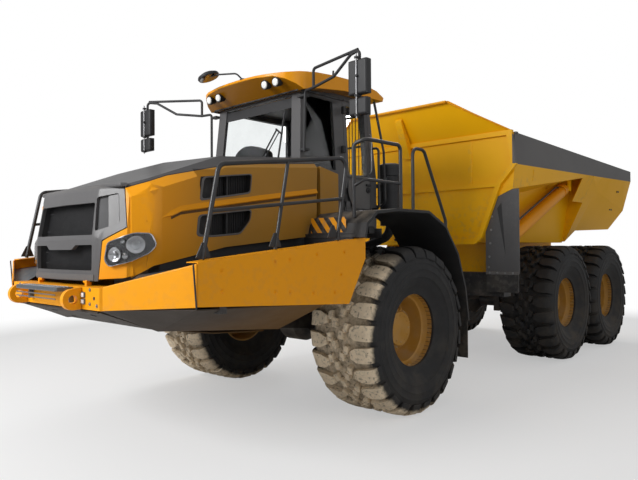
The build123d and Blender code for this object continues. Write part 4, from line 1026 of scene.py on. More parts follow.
def hood_colour(paint):
    """Yellow sides, turning brown in painted shade towards the cab, under a grey top, parted by a line that
    climbs towards the cab.
    """
    front, rear = -2.96, -0.82
    low, high = TOP_LINE[0][1], TOP_LINE[-1][1]

    def colour(tree):
        _, y, z = place_of(tree)
        along = add(tree, "MapRange", Value=y, From_Min=at(0, front, 0).y, From_Max=at(0, rear, 0).y)
        line = add(tree, "FloatCurve", Value=along.outputs[0])
        curve = line.mapping.curves[0]
        spots = [((y0 - front) / (rear - front), (z0 - low) / (high - low)) for y0, z0 in TOP_LINE]
        curve.points[0].location, curve.points[1].location = spots[0], spots[-1]
        for spot in spots[1:-1]:
            curve.points.new(*spot)
        for point in curve.points:
            point.handle_type = "VECTOR"
        line.mapping.update()
        edge = math_node(tree, "MULTIPLY_ADD", line.outputs[0], high - low, low)
        above = math_node(tree, "SUBTRACT", z, edge)
        # black line along the parting: a dark joint with painted shadow under the grey top's edge
        seam = math_node(tree, "LESS_THAN", math_node(tree, "ABSOLUTE", above), 0.004)
        # painted shade: the sides turn brown towards the cab
        shade_share = ramp(tree, y, at(0, -2.8, 0).y, at(0, -1.95, 0).y)
        side = blend_colour(tree, shade_share, paint.body, shaded_brown(paint.body))
        two = blend_colour(tree, ramp(tree, above, -0.001, 0.001), side, paint.grey)
        return blend_colour(tree, seam, two, paint.black)
    return colour


class TRUCK_OT_hood(bpy.types.Operator):
    """Mask with its ears and screens, yellow skin with vents and crease, and headlamps"""
    bl_idname = "truck.hood"
    bl_label = "Hood"

    def execute(self, context):
        surface("hood_paint", hood_colour(settings("paint")), 0.4, coat=0.08, depth=0.1,
                scale=0.7, wear=0.05, dust=0.04, shine=0.22)
        self.mask()
        self.screens()
        self.corners()
        self.skin()
        self.vents()
        self.crease()
        self.headlamps()
        return {"FINISHED"}

    def mask(self):
        half = [(0.0, 1.583), (0.642, 1.583), (0.646, 1.611), (0.682, 1.938), (0.73, 1.965), (0.918, 2.052),
                (0.86, 2.395), (0.8, 2.44), (0.0, 2.444)]
        body = flat("mask", two_sided(half), 0.0, 0.036)
        upper = two_sided([(0.572, 1.988), (0.545, 2.275)])
        lower = two_sided([(0.57, 1.675), (0.575, 1.9), (0.3, 1.9), (0.235, 1.858)])
        cutters = [flat("hole", upper, -0.05, 0.1, 0.018), flat("hole", lower, -0.05, 0.1, 0.014)]
        cutters += [flat("ear", sideways(EAR, side), -0.05, 0.027, 0.022) for side in (1, -1)]
        cut_by(body, cutters)
        bends = [0.54 + 0.02 * k for k in range(6)] + [0.7, 0.76, 0.82, 0.86, 0.89]
        sliced(body, 0, [0.0, 0.3, -0.3] + bends + [-s for s in bends])
        sliced(body, 2, [1.95, 2.38, 2.395, 2.41, 2.425])
        wrapped(body)
        put("mask", [rounded(body, 0.006, 2, 35)], "hood", "grey_paint", stands_for="hood_mask")
        top = plate("mask_top", [at(x, y, 2.405) for x, y in (
            (-0.84, -2.952), (-0.8, -3.005), (-0.585, -3.045), (0.0, -3.07), (0.585, -3.045), (0.8, -3.005),
            (0.84, -2.952))], Z * 0.036, 0.012, 3)
        fit(top, "hood", "grey_paint")
        for side in (1, -1):
            inner = flat("ear_panel", sideways(EAR_PANEL, side), 0.008, 0.03, 0.012, 0.004)
            strip = flat("ear_floor", sideways(EAR_FLOOR, side), 0.024, 0.03, 0.012, 0.002)
            fit(wrapped(sliced(inner, 0, [side * 0.74, side * 0.8])), "hood", "grey_paint")
            fit(wrapped(sliced(strip, 0, [side * 0.62, side * 0.68])), "hood", "black_plastic")
        foot = flat("mask_foot", rectangle((-0.6, 1.588), (0.6, 1.64)), -0.006, 0.0, 0.006, 0.002)
        fit(wrapped(sliced(foot, 0, [-0.56, 0.0, 0.56])), "hood", "band_paint")

    def screens(self):
        """Fine upright bars in front of a dark sheet, set back behind both openings."""
        pieces = []
        for low, high in ((1.655, 1.92), (1.965, 2.3)):
            sheet = flat("sheet", rectangle((-0.61, low), (0.61, high)), 0.1, 0.104)
            bar = block("bar", (-0.0035, 0.086, low), (0.0035, 0.098, high))
            bars = strewn("bars", bar, [Vector((SCREEN_PITCH * k, 0, 0)) for k in range(-33, 34)])
            rails = [block("rail", (-0.6, 0.08, z - 0.006), (0.6, 0.09, z + 0.006), 0.002, 1)
                     for z in (low + 0.075, high - 0.085)]
            edge = [block("edge", (x - 0.02, 0.036, low), (x + 0.02, 0.104, high), 0.002, 1)
                    for x in (0.6, -0.6)]
            pieces += [wrapped(piece) for piece in [sheet, bars] + rails + edge]
        put("grille_screens", pieces, "hood", "black_plastic", stands_for="grilles")

    def corners(self):
        """Yellow corner that runs under the ear and round to the hood's side."""
        for side in (1, -1):
            corner = flat("hood_corner", sideways(CORNER, side), 0.001, 0.034)
            wrapped(sliced(corner, 0, [side * (0.7 + 0.025 * k) for k in range(12)]))
            fit(rounded(corner, 0.004, 2, 35), "hood", "yellow_paint")

    def skin(self):
        """The hood's shell with its square holes filled and the real vents cut."""
        skin = own_copy("hood_shell", "hood_skin")
        bpy.ops.mesh.select_all(action="DESELECT")
        leave_edit()
        low, high = at(0, -2.385, 1.98), at(0, -1.785, 2.605)
        for face in skin.data.polygons:
            x, y, z = face.center
            flat_wall = abs(face.normal.y) > 0.9 or abs(face.normal.z) > 0.9
            face.select = flat_wall and low.y < y < high.y and low.z < z < high.z and abs(x) > 1.0
        edit_kept(skin)
        bpy.ops.mesh.select_mode(type="FACE")
        bpy.ops.mesh.delete(type="FACE")
        bpy.ops.mesh.select_mode(type="VERT")
        bpy.ops.mesh.select_all(action="SELECT")
        bpy.ops.mesh.fill_holes(sides=0)
        turned_out(skin)
        cutters = []
        for outline in VENTS:
            for side in (1, -1):
                points = [at(side * 0.98, y, z) for y, z in outline]
                cutters.append(plate("vent", points, X * side * 0.2, 0, 1, 0.035))
        cut_by(skin, cutters)
        edit(skin)
        flattened(skin)
        self.round_corner(skin)
        rounded(skin, 0.005, 2, 32)
        put("hood_skin", [skin], "hood", "hood_paint", stands_for="hood_shell")

    def round_corner(self, skin):
        """Wide rounding where the nose turns into the sides."""
        turn = at(0, -2.8, 0).y
        edit(skin, "DESELECT")
        bpy.ops.mesh.select_mode(type="EDGE")
        leave_edit()
        places = [vertex.co for vertex in skin.data.vertices]
        for edge in skin.data.edges:
            ends = [places[k] for k in edge.vertices]
            edge.select = all(abs(place.y - turn) < 0.003 and place.z < 2.4
                              and abs(place.x) > hood_side(-2.8, place.z) - 0.005 for place in ends)
        edit_kept(skin)
        bpy.ops.mesh.bevel(offset=0.08, segments=5, affect="EDGES")
        bpy.ops.mesh.select_mode(type="VERT")
        leave_edit()

    def vents(self):
        """Black trays behind the vents, each with a smooth ramp at its front and a thin pale trim."""
        for index, outline in enumerate(VENTS):
            ys, zs = [y for y, z in outline], [z for y, z in outline]
            margin = 0.03
            low, high = (min(ys) - margin, min(zs) - margin), (max(ys) + margin, max(zs) + margin)
            back = side_plate("tray", grown(outline, 1.05), -0.09, -0.085)
            wall = side_plate("wall", grown(outline, 1.05), -0.088, -0.01)
            cut_by(wall, [side_plate("hole", grown(outline, 1.005), -0.2, 0.05, 0.035)])
            corners = ((-0.01, low[0]), (-0.07, -2.185), (-0.085, -2.165), (-0.085, low[0]))
            slope = plate("ramp", [Vector((x, y, low[1])) for x, y in corners], Z * (high[1] - low[1]))
            cut_by(slope, [side_plate("hole", grown(outline, 1.03), -0.2, 0.05, 0.035)], "INTERSECT")
            bars = [side_plate("bars", rectangle((y, low[1]), (y + 0.006, high[1])), -0.084, -0.074)
                    for y in (-2.15 + 0.022 * k for k in range(18))]
            bars.append(side_plate("bar", rectangle((-2.04, low[1]), (-2.018, high[1])), -0.08, -0.03))
            opening = side_plate("hole", grown(outline, 1.02), -0.2, 0.05, 0.03)
            bars = cut_by(joined("bars", bars), [opening], "INTERSECT")
            trim = side_plate("trim", grown(outline, 1.02), -0.004, 0.004, 0.035)
            cut_by(trim, [side_plate("hole", [(y + 0.006, z + (0.012 if z < sum(zs) / len(zs) else -0.005))
                                              for y, z in grown(outline, 0.96)], -0.02, 0.02, 0.032)])
            rounded(trim, 0.002, 1)
            groups = ((joined("tray", [back, wall]), "black_plastic"), (slope, "guard_plastic"),
                      (bars, "black_plastic"), (trim, "band_paint"))
            for piece, finish in groups:
                dressed(sliced(piece, 1, [-2.2, -2.06, -1.9]))
                fit(both(piece, f"vent_{piece.name.split('.')[0]}_{index}"), "hood", finish)

    def crease(self):
        """Pressed ledge that rises from the hood's side over a dark strip of painted shadow."""
        ledge = [(-0.004, 0.055), (0.02, 0.01), (0.022, 0.0), (0.014, -0.006), (-0.004, -0.012)]
        # the dark strip under the ledge is painted shadow
        groove = [(-0.004, -0.006), (0.0025, -0.008), (0.002, -0.034), (-0.004, -0.036)]
        for name, profile, finish in (("ledge", ledge, "yellow_paint"), ("groove", groove, "hood_shade")):
            piece = wire(name, [Vector((out, *CREASE[0])) + Vector((0, 0, rise)) for out, rise in profile])
            edit(piece)
            for low, high in zip(CREASE, CREASE[1:]):
                step = Vector((0, high[0] - low[0], high[1] - low[1]))
                bpy.ops.mesh.extrude_region_move(TRANSFORM_OT_translate={"value": step})
            turned_out(piece)
            front = min(vertex.co.y for vertex in piece.data.vertices)
            for vertex in piece.data.vertices:
                if vertex.co.y < front + 0.01:
                    vertex.co.x -= 0.016
            dressed(piece)
            put(f"crease_{name}", [piece], "hood", finish, pair=True)

    def headlamps(self):
        """A rim, a dark housing, a cover and four lamps with their bowls, on each side."""
        rim = flat("rim", grown(LAMP, 1.03), -0.026, 0.02, 0.03)
        cut_by(rim, [flat("hole", grown(LAMP, 0.975), -0.05, 0.05, 0.026)])
        housing = flat("housing", LAMP, -0.016, 0.02, 0.028)
        cover = flat("cover", grown(LAMP, 0.98), -0.034, -0.032, 0.026)
        rim, housing, cover = (wrapped(sliced(piece, 0, [0.76 + 0.03 * k for k in range(14)]))
                               for piece in (rim, housing, cover))
        rims, housings, lenses = [rim], [housing], []
        for s, z, radius in LAMP_SPOTS:
            spot = Vector((s, -0.016, z))
            collar = [(0.0, 1.08), (0.013, 1.08), (0.014, 0.9936), (0.0, 0.9)]
            bowl = [(0.013, 1.0), (0.014, 0.92), (0.005, 0.55), (0.003, 0.0)]
            lens = [(0.003, 0.0), (0.003, 0.6), (0.01, 0.52), (0.014, 0.25), (0.015, 0.0)]
            for group, name, profile, steps in ((housings, "collar", collar, 40), (rims, "bowl", bowl, 40),
                                                (lenses, "lens", lens, 32)):
                profile = [(along, radius * share) for along, share in profile]
                group.append(wrapped(turned(name, profile, spot, -Y, steps)))
        put("headlamp_housings", housings, "hood", "lamp_dark", pair=True, stands_for="headlamps")
        put("headlamp_bowls", rims, "hood", "reflector", pair=True)
        put("headlamp_lenses", lenses, "hood", "lamp_glass", pair=True)
        put("headlamp_covers", [cover], "hood", "cover_glass", pair=True)


# --- cab, panels and rails ------------------------------------------------------------------------------
def struck(node, start, direction):
    """Where a straight line from start first meets a node."""
    mesh = frame["nodes"][node].data
    tree = BVHTree.FromPolygons([vertex.co for vertex in mesh.vertices],
                                [face.vertices for face in mesh.polygons])
    place = tree.ray_cast(at(*start), Vector(direction))[0]
    if place is None:
        raise ValueError(f"nothing of {node} lies that way from {start}")
    return place


def slab(name, points, depth, soften=0.003, corner=0.0):
    """Plate from front-axle places."""
    return plate(name, [at(*p) for p in points], Vector(depth), soften, 2, corner)


def upright(name, x, outline, thick, soften=0.003, corner=0.0):
    """Plate that faces sideways, from front-axle y and z."""
    return slab(name, [(x, y, z) for y, z in outline], (thick, 0, 0), soften, corner)


def brick(name, low, high, soften=0.005, segments=2):
    return block(name, at(*low), at(*high), soften, segments)


def pipe(name, points, radius, bend=0.05):
    return tube(name, [at(*p) for p in points], radius, bend)


def hoop(along, width, inner, outer, centre, axis, steps):
    """Flat ring round an axis, at a distance along it from the centre."""
    low, high = along, along + width
    return turned("ring", [(low, inner), (low, outer), (high, outer), (high, inner)], centre, axis, steps)


def disc(name, radius, height, centre, axis, steps=24):
    """Thin round plate that stands on a surface."""
    return turned(name, [(0, 0), (0, radius), (height, radius), (height, 0)], centre, axis, steps)


PUFF_FRAMES = 20


def pad(name, low, high, lean=0.0, puff=0.014):
    """Stuffed cushion: a box blown up like cloth, within a limit."""
    piece = brick(name, low, high, 0.03, 3)
    if lean:
        foot = at(0, low[1], low[2])
        moved(piece, around(foot, Matrix.Rotation(lean, 4, "X")))
    finished(piece, "REMESH", mode="VOXEL", voxel_size=0.006)
    rest = [vertex.co.copy() for vertex in piece.data.vertices]
    only(piece)
    cloth = piece.modifiers.new("Cloth", "CLOTH")
    cloth.settings.use_pressure = True
    cloth.settings.uniform_pressure_force = 4
    cloth.settings.effector_weights.gravity = 0
    for number in range(1, PUFF_FRAMES + 1):
        bpy.context.scene.frame_set(number)
    bpy.ops.object.modifier_apply(modifier=cloth.name)
    bpy.context.scene.frame_set(1)
    for vertex, place in zip(piece.data.vertices, rest):
        step = vertex.co - place
        if step.length > puff:
            vertex.co = place + step * (puff / step.length)
    finished(piece, "SUBSURF", levels=1, render_levels=1)
    smooth(piece, 180)
    return piece


class TRUCK_OT_cab(bpy.types.Operator):
    """Roof lamps, door, wiper, mirrors, seat and the cab's small fittings"""
    bl_idname = "truck.cab"
    bl_label = "Cab fittings"

    def execute(self, context):
        self.roof()
        self.lamps()
        self.glass_edges()
        self.door()
        self.mirror_heads()
        self.inside()
        self.behind()
        return {"FINISHED"}

    def roof(self):
        """Crowned roof with a brow that leans out over the windscreen."""
        side = [(-0.775, 3.66), (-1.058, 3.832), (-1.064, 3.852), (-1.05, 3.866), (-0.96, 3.893),
                (-0.82, 3.925), (-0.6, 3.955), (-0.3, 3.978), (0.0, 3.985), (0.3, 3.975), (0.52, 3.945),
                (0.64, 3.895), (0.67, 3.83), (0.65, 3.752), (-0.1, 3.752), (-0.54, 3.7)]
        body = upright("roof", -0.898, side, 1.796, 0)
        plan = [(0.898, 0.68), (0.898, -0.6), (0.875, -0.745), (0.82, -0.86), (0.73, -0.955), (0.6, -1.02),
                (0.35, -1.056), (0.0, -1.066)]
        plan = plan + [(-x, y) for x, y in reversed(plan[:-1])]
        cut_by(body, [slab("plan", [(x, y, 3.5) for x, y in plan], (0, 0, 0.7), 0)], "INTERSECT")
        sliced(body, 0, [0.15 * k for k in range(-5, 6)])
        crown, half_width, crown_foot = 0.075, 0.9, 3.81
        for vertex in body.data.vertices:
            if vertex.co.z > crown_foot:
                share = min((vertex.co.z - crown_foot) / 0.06, 1.0)
                vertex.co.z -= crown * (vertex.co.x / half_width) ** 2 * share
        put("roof", [rounded(body, 0.014, 3, 34)], "front_unit", "roof_paint", stands_for="cab_roof")

    def lamps(self):
        cases, lenses = [], []
        for x in (-0.615, -0.43, 0.43, 0.615):
            centre = at(x, -0.992, 3.745)
            case = [(0.0, 0.0), (0.0, 0.044), (0.004, 0.052), (-0.012, 0.056), (-0.08, 0.046),
                    (-0.105, 0.03), (-0.105, 0.0)]
            lens = [(0.0, 0.044), (0.01, 0.038), (0.015, 0.02), (0.016, 0.0)]
            slope = around(centre, Matrix.Rotation(0.22, 4, "X"))
            cases.append(moved(turned("case", case, centre, -Y, 36), slope))
            lenses.append(moved(turned("lens", lens, centre, -Y, 36), slope))
        put("roof_lamp_cases", cases)
        put("roof_lamp_lenses", lenses, "front_unit", "lit_lens")
        stalk = pipe("mirror_stalk", [(0.1, -1.04, 3.86), (0.06, -1.1, 3.93), (-0.2, -1.17, 3.955),
                                      (-0.33, -1.19, 3.955)], 0.01, 0.03)
        dome = [(-0.016, 0.0), (-0.016, 0.128), (0.0, 0.136), (0.018, 0.128), (0.04, 0.085), (0.05, 0.04),
                (0.052, 0.0)]
        centre = at(-0.36, -1.19, 3.955)
        lean = Vector((-0.28, -0.22, 0.93)).normalized()
        bowl = turned("dome", dome, centre, lean, 40, angle=60)
        foot = brick("stalk_foot", (0.07, -1.06, 3.845), (0.13, -1.0, 3.872), 0.004)
        put("front_mirror", [stalk, bowl, foot])
        view = [(-0.018, 0.0), (-0.018, 0.118), (-0.016, 0.12)]
        fit(turned("front_mirror_glass", view, centre, lean, 40), "front_unit", "lamp_dark")
        hook = pipe("aerial", [(0.74, -0.15, 3.93), (0.75, -0.15, 4.02)], 0.012, 0)
        fit(hook)
        seal = [brick("roof_seal", (-0.775, -0.795, 3.655), (0.775, -0.775, 3.685), 0.004),
                brick("roof_seal", (0.8, -0.76, 3.655), (0.826, -0.04, 3.68), 0.004),
                brick("roof_seal", (-0.826, -0.76, 3.655), (-0.8, 0.56, 3.68), 0.004)]
        put("roof_seals", seal, "front_unit", "flap_rubber")

    def glass_edges(self):
        """Shade along the windscreen's top, its wiper and the black print round the glass."""
        def front(x, z, out=0.004):
            place = struck("cab_glass", (0, -2.0, min(max(z, 2.81), 3.62)), (0, 1, 0))
            return (x, place.y - FRONT_WHEEL.y - out, z)
        def printed(name, corners, soften=0.001, corner=0.0):
            return slab(name, [front(x, z) for x, z in corners], (0, 0.003, 0), soften, corner)
        shade = ((-0.66, 3.5), (0.66, 3.5), (0.64, 3.62), (-0.64, 3.62))
        fit(printed("sun_band", shade, corner=0.02))
        upright_edge = ((0.64, 2.82), (0.7, 2.82), (0.66, 3.6), (0.61, 3.6))
        foot = ((-0.66, 2.815), (0.66, 2.815), (0.655, 2.875), (-0.655, 2.875))
        edges = [printed("print", corners) for corners in (upright_edge, sideways(upright_edge, -1), foot)]
        put("screen_print", edges)
        pieces = [pipe("head", [front(0.375, 3.275, 0.028), front(0.47, 3.205, 0.022)], 0.011, 0),
                  pipe("blade", [front(0.425, 2.93, 0.012), front(0.495, 3.46, 0.012)], 0.011, 0),
                  turned("post", [(0, 0), (0, 0.026), (0.045, 0.022), (0.05, 0)], at(*front(0.12, 2.83, 0)),
                         -Y, 24)]
        # foot and end of each arm, and its radius
        for x, end, radius in ((0.09, (0.39, 3.265), 0.01), (0.15, (0.43, 3.225), 0.007)):
            course = [front(x, 2.84, 0.03), front(x + 0.01, 2.86, 0.045), front(*end, 0.03)]
            pieces.append(pipe("arm", course, radius, 0.01))
        put("wiper", pieces)

    def door(self):
        x = 0.827
        outline = [(0.02, 2.52), (0.11, 2.35), (0.455, 2.35), (0.455, 2.705), (0.02, 2.705)]
        panel = upright("door_panel", x, outline, 0.007, 0.003, 0.045)
        rib = upright("door_rib", x, rectangle((0.03, 2.735), (0.45, 2.752)), 0.006, 0.002)
        put("door_panel", [panel, rib], "cab_door", "band_paint")
        latch = [(0, 0), (0, 0.04), (0.012, 0.038), (0.016, 0.03), (0.016, 0.02), (0.024, 0.018),
                 (0.026, 0)]
        pieces = [turned("latch", latch, at(x + 0.004, 0.405, 2.59), X, 36),
                  brick("handle", (x + 0.004, 0.36, 2.64), (x + 0.03, 0.45, 2.668), 0.008)]
        put("door_latch", pieces, "cab_door", "black_plastic")
        strip = pipe("door_handle", [(x - 0.004, 0.452, 2.8), (x + 0.03, 0.452, 2.83),
                                     (x + 0.03, 0.452, 3.28), (x - 0.004, 0.452, 3.31)], 0.009, 0.02)
        fit(strip, "cab_door", "bare_steel")
        hinges = [brick("hinge", (0.79, -0.062, z), (0.834, -0.016, z + 0.09), 0.006)
                  for z in (2.42, 3.02, 3.5)]
        put("door_hinges", hinges)

    def mirror_heads(self):
        shells, glasses, rods = [], [], []
        for side, x, y in ((1, 1.745, -0.87), (-1, 1.77, -1.17)):
            for low, high, half in ((3.415, 3.776, 0.124), (3.205, 3.384, 0.119)):
                shells.append(brick("shell", (side * x - half, y - 0.048, low),
                                    (side * x + half, y + 0.03, high), 0.026, 4))
                glasses.append(brick("glass", (side * x - half + 0.014, y + 0.0352, low + 0.016),
                                     (side * x + half - 0.014, y + 0.0375, high - 0.016), 0.0008, 1))
            rods.append(pipe("rod", [(side * x, y - 0.056, 3.17), (side * x, y - 0.056, 3.83)], 0.009, 0))
            for z in (3.2, 3.4, 3.6, 3.79):
                shells.append(brick("clamp", (side * x - 0.02, y - 0.07, z - 0.012),
                                    (side * x + 0.02, y - 0.03, z + 0.012), 0.004, 1))
        put("mirror_shells", shells)
        put("mirror_glasses", glasses, "front_unit", "mirror_glass")
        put("mirror_rods", rods, "front_unit", "bare_steel")

    def inside(self):
        base = brick("seat_base", (-0.19, 0.03, 2.14), (0.19, 0.37, 2.3), 0.02, 3)
        folds = [brick("fold", (-0.175 + 0.012 * (k % 2), 0.045, 2.3 + 0.034 * k),
                       (0.175 - 0.012 * (k % 2), 0.355, 2.332 + 0.034 * k), 0.01, 2) for k in range(6)]
        tray = brick("tray", (-0.245, -0.04, 2.5), (0.245, 0.43, 2.545), 0.015, 3)
        arms = [brick("arm", (s * 0.285 - 0.03, 0.02, 2.74), (s * 0.285 + 0.03, 0.36, 2.79), 0.02, 3)
                for s in (1, -1)]
        put("seat_base", [base, tray] + folds + arms, stands_for="seat")
        for piece in (pad("seat_cushion", (-0.235, -0.045, 2.55), (0.235, 0.4, 2.655)),
                      pad("seat_back", (-0.225, 0.385, 2.64), (0.225, 0.475, 3.08), -0.12),
                      pad("seat_headrest", (-0.12, 0.455, 3.105), (0.12, 0.515, 3.23), -0.12)):
            fit(piece, "front_unit", "seat_cloth")
        outline = ((-0.56, 2.69), (-0.58, 3.06), (-0.5, 3.13), (-0.38, 3.175), (-0.22, 3.165),
                   (-0.08, 3.12), (0.04, 3.07), (0.06, 2.69))
        hump = slab("hump", [(x, -0.62, z) for x, z in outline], (0, 0.12, 0), 0.012, 0.04)
        screen = brick("display", (0.36, -0.5, 2.9), (0.58, -0.47, 3.05), 0.008)
        stalk = pipe("stalk", [(0.47, -0.58, 2.72), (0.47, -0.5, 2.92)], 0.012, 0)
        sticks = [pipe("stick", [(-0.36, -0.02, 2.6), (-0.37, -0.06, 2.8)], 0.012, 0),
                  brick("console", (-0.46, -0.16, 2.16), (-0.28, 0.34, 2.62), 0.02, 3)]
        put("cab_controls", [hump, screen, stalk] + sticks)

    def behind(self):
        """Guard bars over the rear window, the intake's cap and boxes on the back wall."""
        bars = [pipe("bar", [(-0.66 + 0.055 * k, 0.64, 2.82), (-0.66 + 0.055 * k, 0.64, 3.62)], 0.006, 0)
                for k in range(25)]
        rails = [brick("rail", (-0.7, 0.625, z), (0.7, 0.65, z + 0.025), 0.004, 1)
                 for z in (2.8, 3.2, 3.61)]
        put("rear_guard", bars + rails, "front_unit", "black_paint")
        centre = at(0.85, 0.85, 0.0)
        cap = [(2.88, 0.0), (2.88, 0.152), (2.905, 0.156), (2.945, 0.15), (2.965, 0.11), (2.972, 0.0)]
        rings = [hoop(z, 0.03, 0.124, 0.136, centre, Z, 48) for z in (2.24, 2.42, 2.6, 2.76)]
        put("intake_cap", [turned("cap", cap, centre, Z, 48)] + rings)
        # radius and bend of each duct, and its course
        ducts = (
            (0.06, 0.12, ((0.85, 0.85, 2.17), (0.85, 0.85, 2.02), (0.5, 0.86, 1.9), (0.3, 0.7, 1.8))),
            (0.024, 0.08, ((0.62, 0.64, 2.55), (0.62, 0.7, 2.4), (0.6, 0.86, 2.1), (0.42, 0.92, 1.75))),
            (0.02, 0.08, ((0.56, 0.64, 2.5), (0.55, 0.72, 2.36), (0.52, 0.9, 2.05), (0.34, 0.95, 1.72))))
        hoses = [pipe("duct", course, radius, bend) for radius, bend, course in ducts]
        boxes = [brick("box", (0.1, 0.625, 2.22), (0.52, 0.78, 2.66), 0.012),
                 brick("box", (-0.6, 0.625, 2.22), (-0.14, 0.76, 2.6), 0.012)]
        put("rear_boxes", boxes + hoses)


class TRUCK_OT_panels(bpy.types.Operator):
    """Pan, bolts and joints of the side panels, bumper lamps, rail feet, stripes and mudguard bolts"""
    bl_idname = "truck.panels"
    bl_label = "Panel fittings"

    def execute(self, context):
        self.bolts()
        self.joints()
        self.bumper()
        self.feet()
        self.guards()
        self.hull()
        return {"FINISHED"}

    def hull(self):
        """Pan under the engine and the sloping plates from it up to the side panels."""
        line = [(-3.24, 1.338), (-2.74, 1.145), (-2.05, 1.032), (-1.4, 0.99)]
        line += [(y, z + 0.012) for y, z in reversed(line)]
        pan = upright("pan", -0.85, line, 1.7)
        rim = brick("rim", (-0.85, -3.24, 1.325), (0.85, -3.225, 1.35), 0.003)
        brackets = [brick("bracket", (x - 0.015, -1.5, 0.998), (x + 0.015, -1.42, 1.14), 0.003)
                    for x in (0.415, -0.415)]
        put("belly_pan", [pan, rim] + brackets, "front_unit", "belly_paint", stands_for="belly_guard")
        # corners of the sloping plates: along the pan, and along the bumper and the side panel
        front, rear = (0.9, -2.7, 1.125), (1.1, -1.42, 1.035)
        nose, corner, tail = (0.945, -3.225, 1.356), (1.785, -2.925, 1.384), (1.785, -1.46, 1.33)
        outlines = ((nose, corner, front), ((0.86, -3.225, 1.345), nose, front, (0.85, -2.74, 1.148)),
                    (corner, tail, rear, front), (rear, tail, (1.7, -1.38, 1.33), (1.15, -1.34, 1.12)))
        plates = [slab("side", outline, (0, 0, 0.01), 0.002) for outline in outlines]
        put("hull_sides", plates, "front_unit", "belly_paint", pair=True)

    def bolts(self):
        radius = settings("fittings").bolt
        places = [(-2.68, 1.68), (-2.68, 1.52), (-2.105, 1.74), (-2.105, 1.48), (-1.93, 1.755),
                  (-1.93, 1.47), (-1.58, 1.8), (-1.63, 1.445), (-1.19, 1.815), (-1.24, 1.6),
                  (-1.335, 1.435)]
        heads = [bolt("head", struck("side_panels", (2.5, y, z), (-1, 0, 0)), X, radius, 0.01)
                 for y, z in places]
        put("panel_bolts", heads, "front_unit", "yellow_paint", pair=True)

    def joints(self):
        outline = [(-2.962, 1.734), (-2.95, 1.744), (-2.922, 1.405), (-2.934, 1.39)]
        seam = upright("seam", 1.7945, outline, 0.007, 0.001)
        lip = pipe("lip", [(1.79, -2.87, 1.753), (1.79, -0.96, 1.948)], 0.006, 0)
        put("panel_seams", [seam], pair=True)
        put("panel_lips", [lip], "front_unit", "yellow_paint", pair=True)

    def bumper(self):
        def face(x, z):
            return struck("bumper", (x, -4.0, z), (0, 1, 0))
        housings, lenses = [], []
        for z in (1.474, 1.418):
            centre = face(0.63, z)
            housings.append(block("housing", centre + Vector((-0.03, -0.012, -0.024)),
                                  centre + Vector((0.03, 0.004, 0.024)), 0.005, 2))
            lenses.append(block("lens", centre + Vector((-0.022, -0.018, -0.017)),
                                centre + Vector((0.022, -0.01, 0.017)), 0.005, 2))
        hole = disc("hole", 0.016, 0.002, face(0.812, 1.451), -Y)
        groove = slab("groove", [(0.948, -3.238, 1.37), (0.962, -3.232, 1.37), (0.962, -3.232, 1.54),
                                 (0.948, -3.238, 1.54)], (0.0, -0.004, 0), 0.001)
        heads = [bolt("head", face(x, z), -Y, 0.011, 0.009) for x,
                 z in ((0.74, 1.52), (0.74, 1.4), (0.86, 1.39))]
        put("bumper_lamps", housings, "front_unit", "band_paint", pair=True)
        put("bumper_lenses", lenses, "front_unit", "white_lens", pair=True)
        put("bumper_holes", [hole, groove], pair=True)
        put("bumper_bolts", heads, "front_unit", "bare_steel", pair=True)
        # step over the bumper: round studs in rows
        stud = turned("stud", [(0, 0), (0, 0.01), (0.004, 0.008), (0.004, 0)], at(0, 0, 0), Z, 8)
        top = struck("front_step", (0.0, -3.33, 2.0), (0, 0, -1))
        rows = [Vector((-0.405 + 0.045 * k, -3.375 + 0.03 * j, top.z)) for k in range(19) for j in range(4)]
        fit(strewn("step_studs", stud, rows), "front_unit", "bare_steel")
        front = [brick("bar", (-0.42, -3.408, z), (0.42, -3.398, z + 0.01), 0.002, 1)
                 for z in (1.43, 1.465, 1.5)]
        put("step_bars", front, "front_unit", "band_paint")

    def feet(self):
        """Spread feet of the rails' posts."""
        feet = []
        for y, z in ((-2.8, 1.785), (-2.03, 1.87), (-1.27, 1.955)):
            outline = [(y - 0.075, z), (y + 0.075, z), (y + 0.026, z + 0.125), (y - 0.012, z + 0.125)]
            feet.append(upright("foot", 1.704, outline, 0.012, corner=0.01))
        put("rail_feet", feet, "front_unit", "black_paint", pair=True)
        outline = [(-2.74, 1.58), (-0.86, 1.58), (-0.86, 2.06), (-2.06, 1.95), (-2.74, 1.74)]
        screen = upright("screen", 0.985, outline, 0.01, 0.002)
        put("bay_screens", [screen], pair=True)
        sill = brick("sill", (1.05, -0.992, 1.86), (1.74, -0.978, 2.01), 0.003)
        put("riser_sills", [sill], pair=True)
        stripe = brick("stripe", (1.15, -0.985, 2.005), (1.64, -0.978, 2.175), 0.002, 1)
        put("riser_stripes", [stripe], "front_unit", "hatch_paint", pair=True)

    def guards(self):
        """Bolts of the mudguards."""
        heads = [bolt("head", struck("mudguards", (1.55, y, 3.0), (0, 0, -1)), Z, 0.013, 0.01)
                 for y in (-0.62, -0.2, 0.22, 0.62)]
        put("guard_bolts", heads, "front_unit", "bare_steel", pair=True)


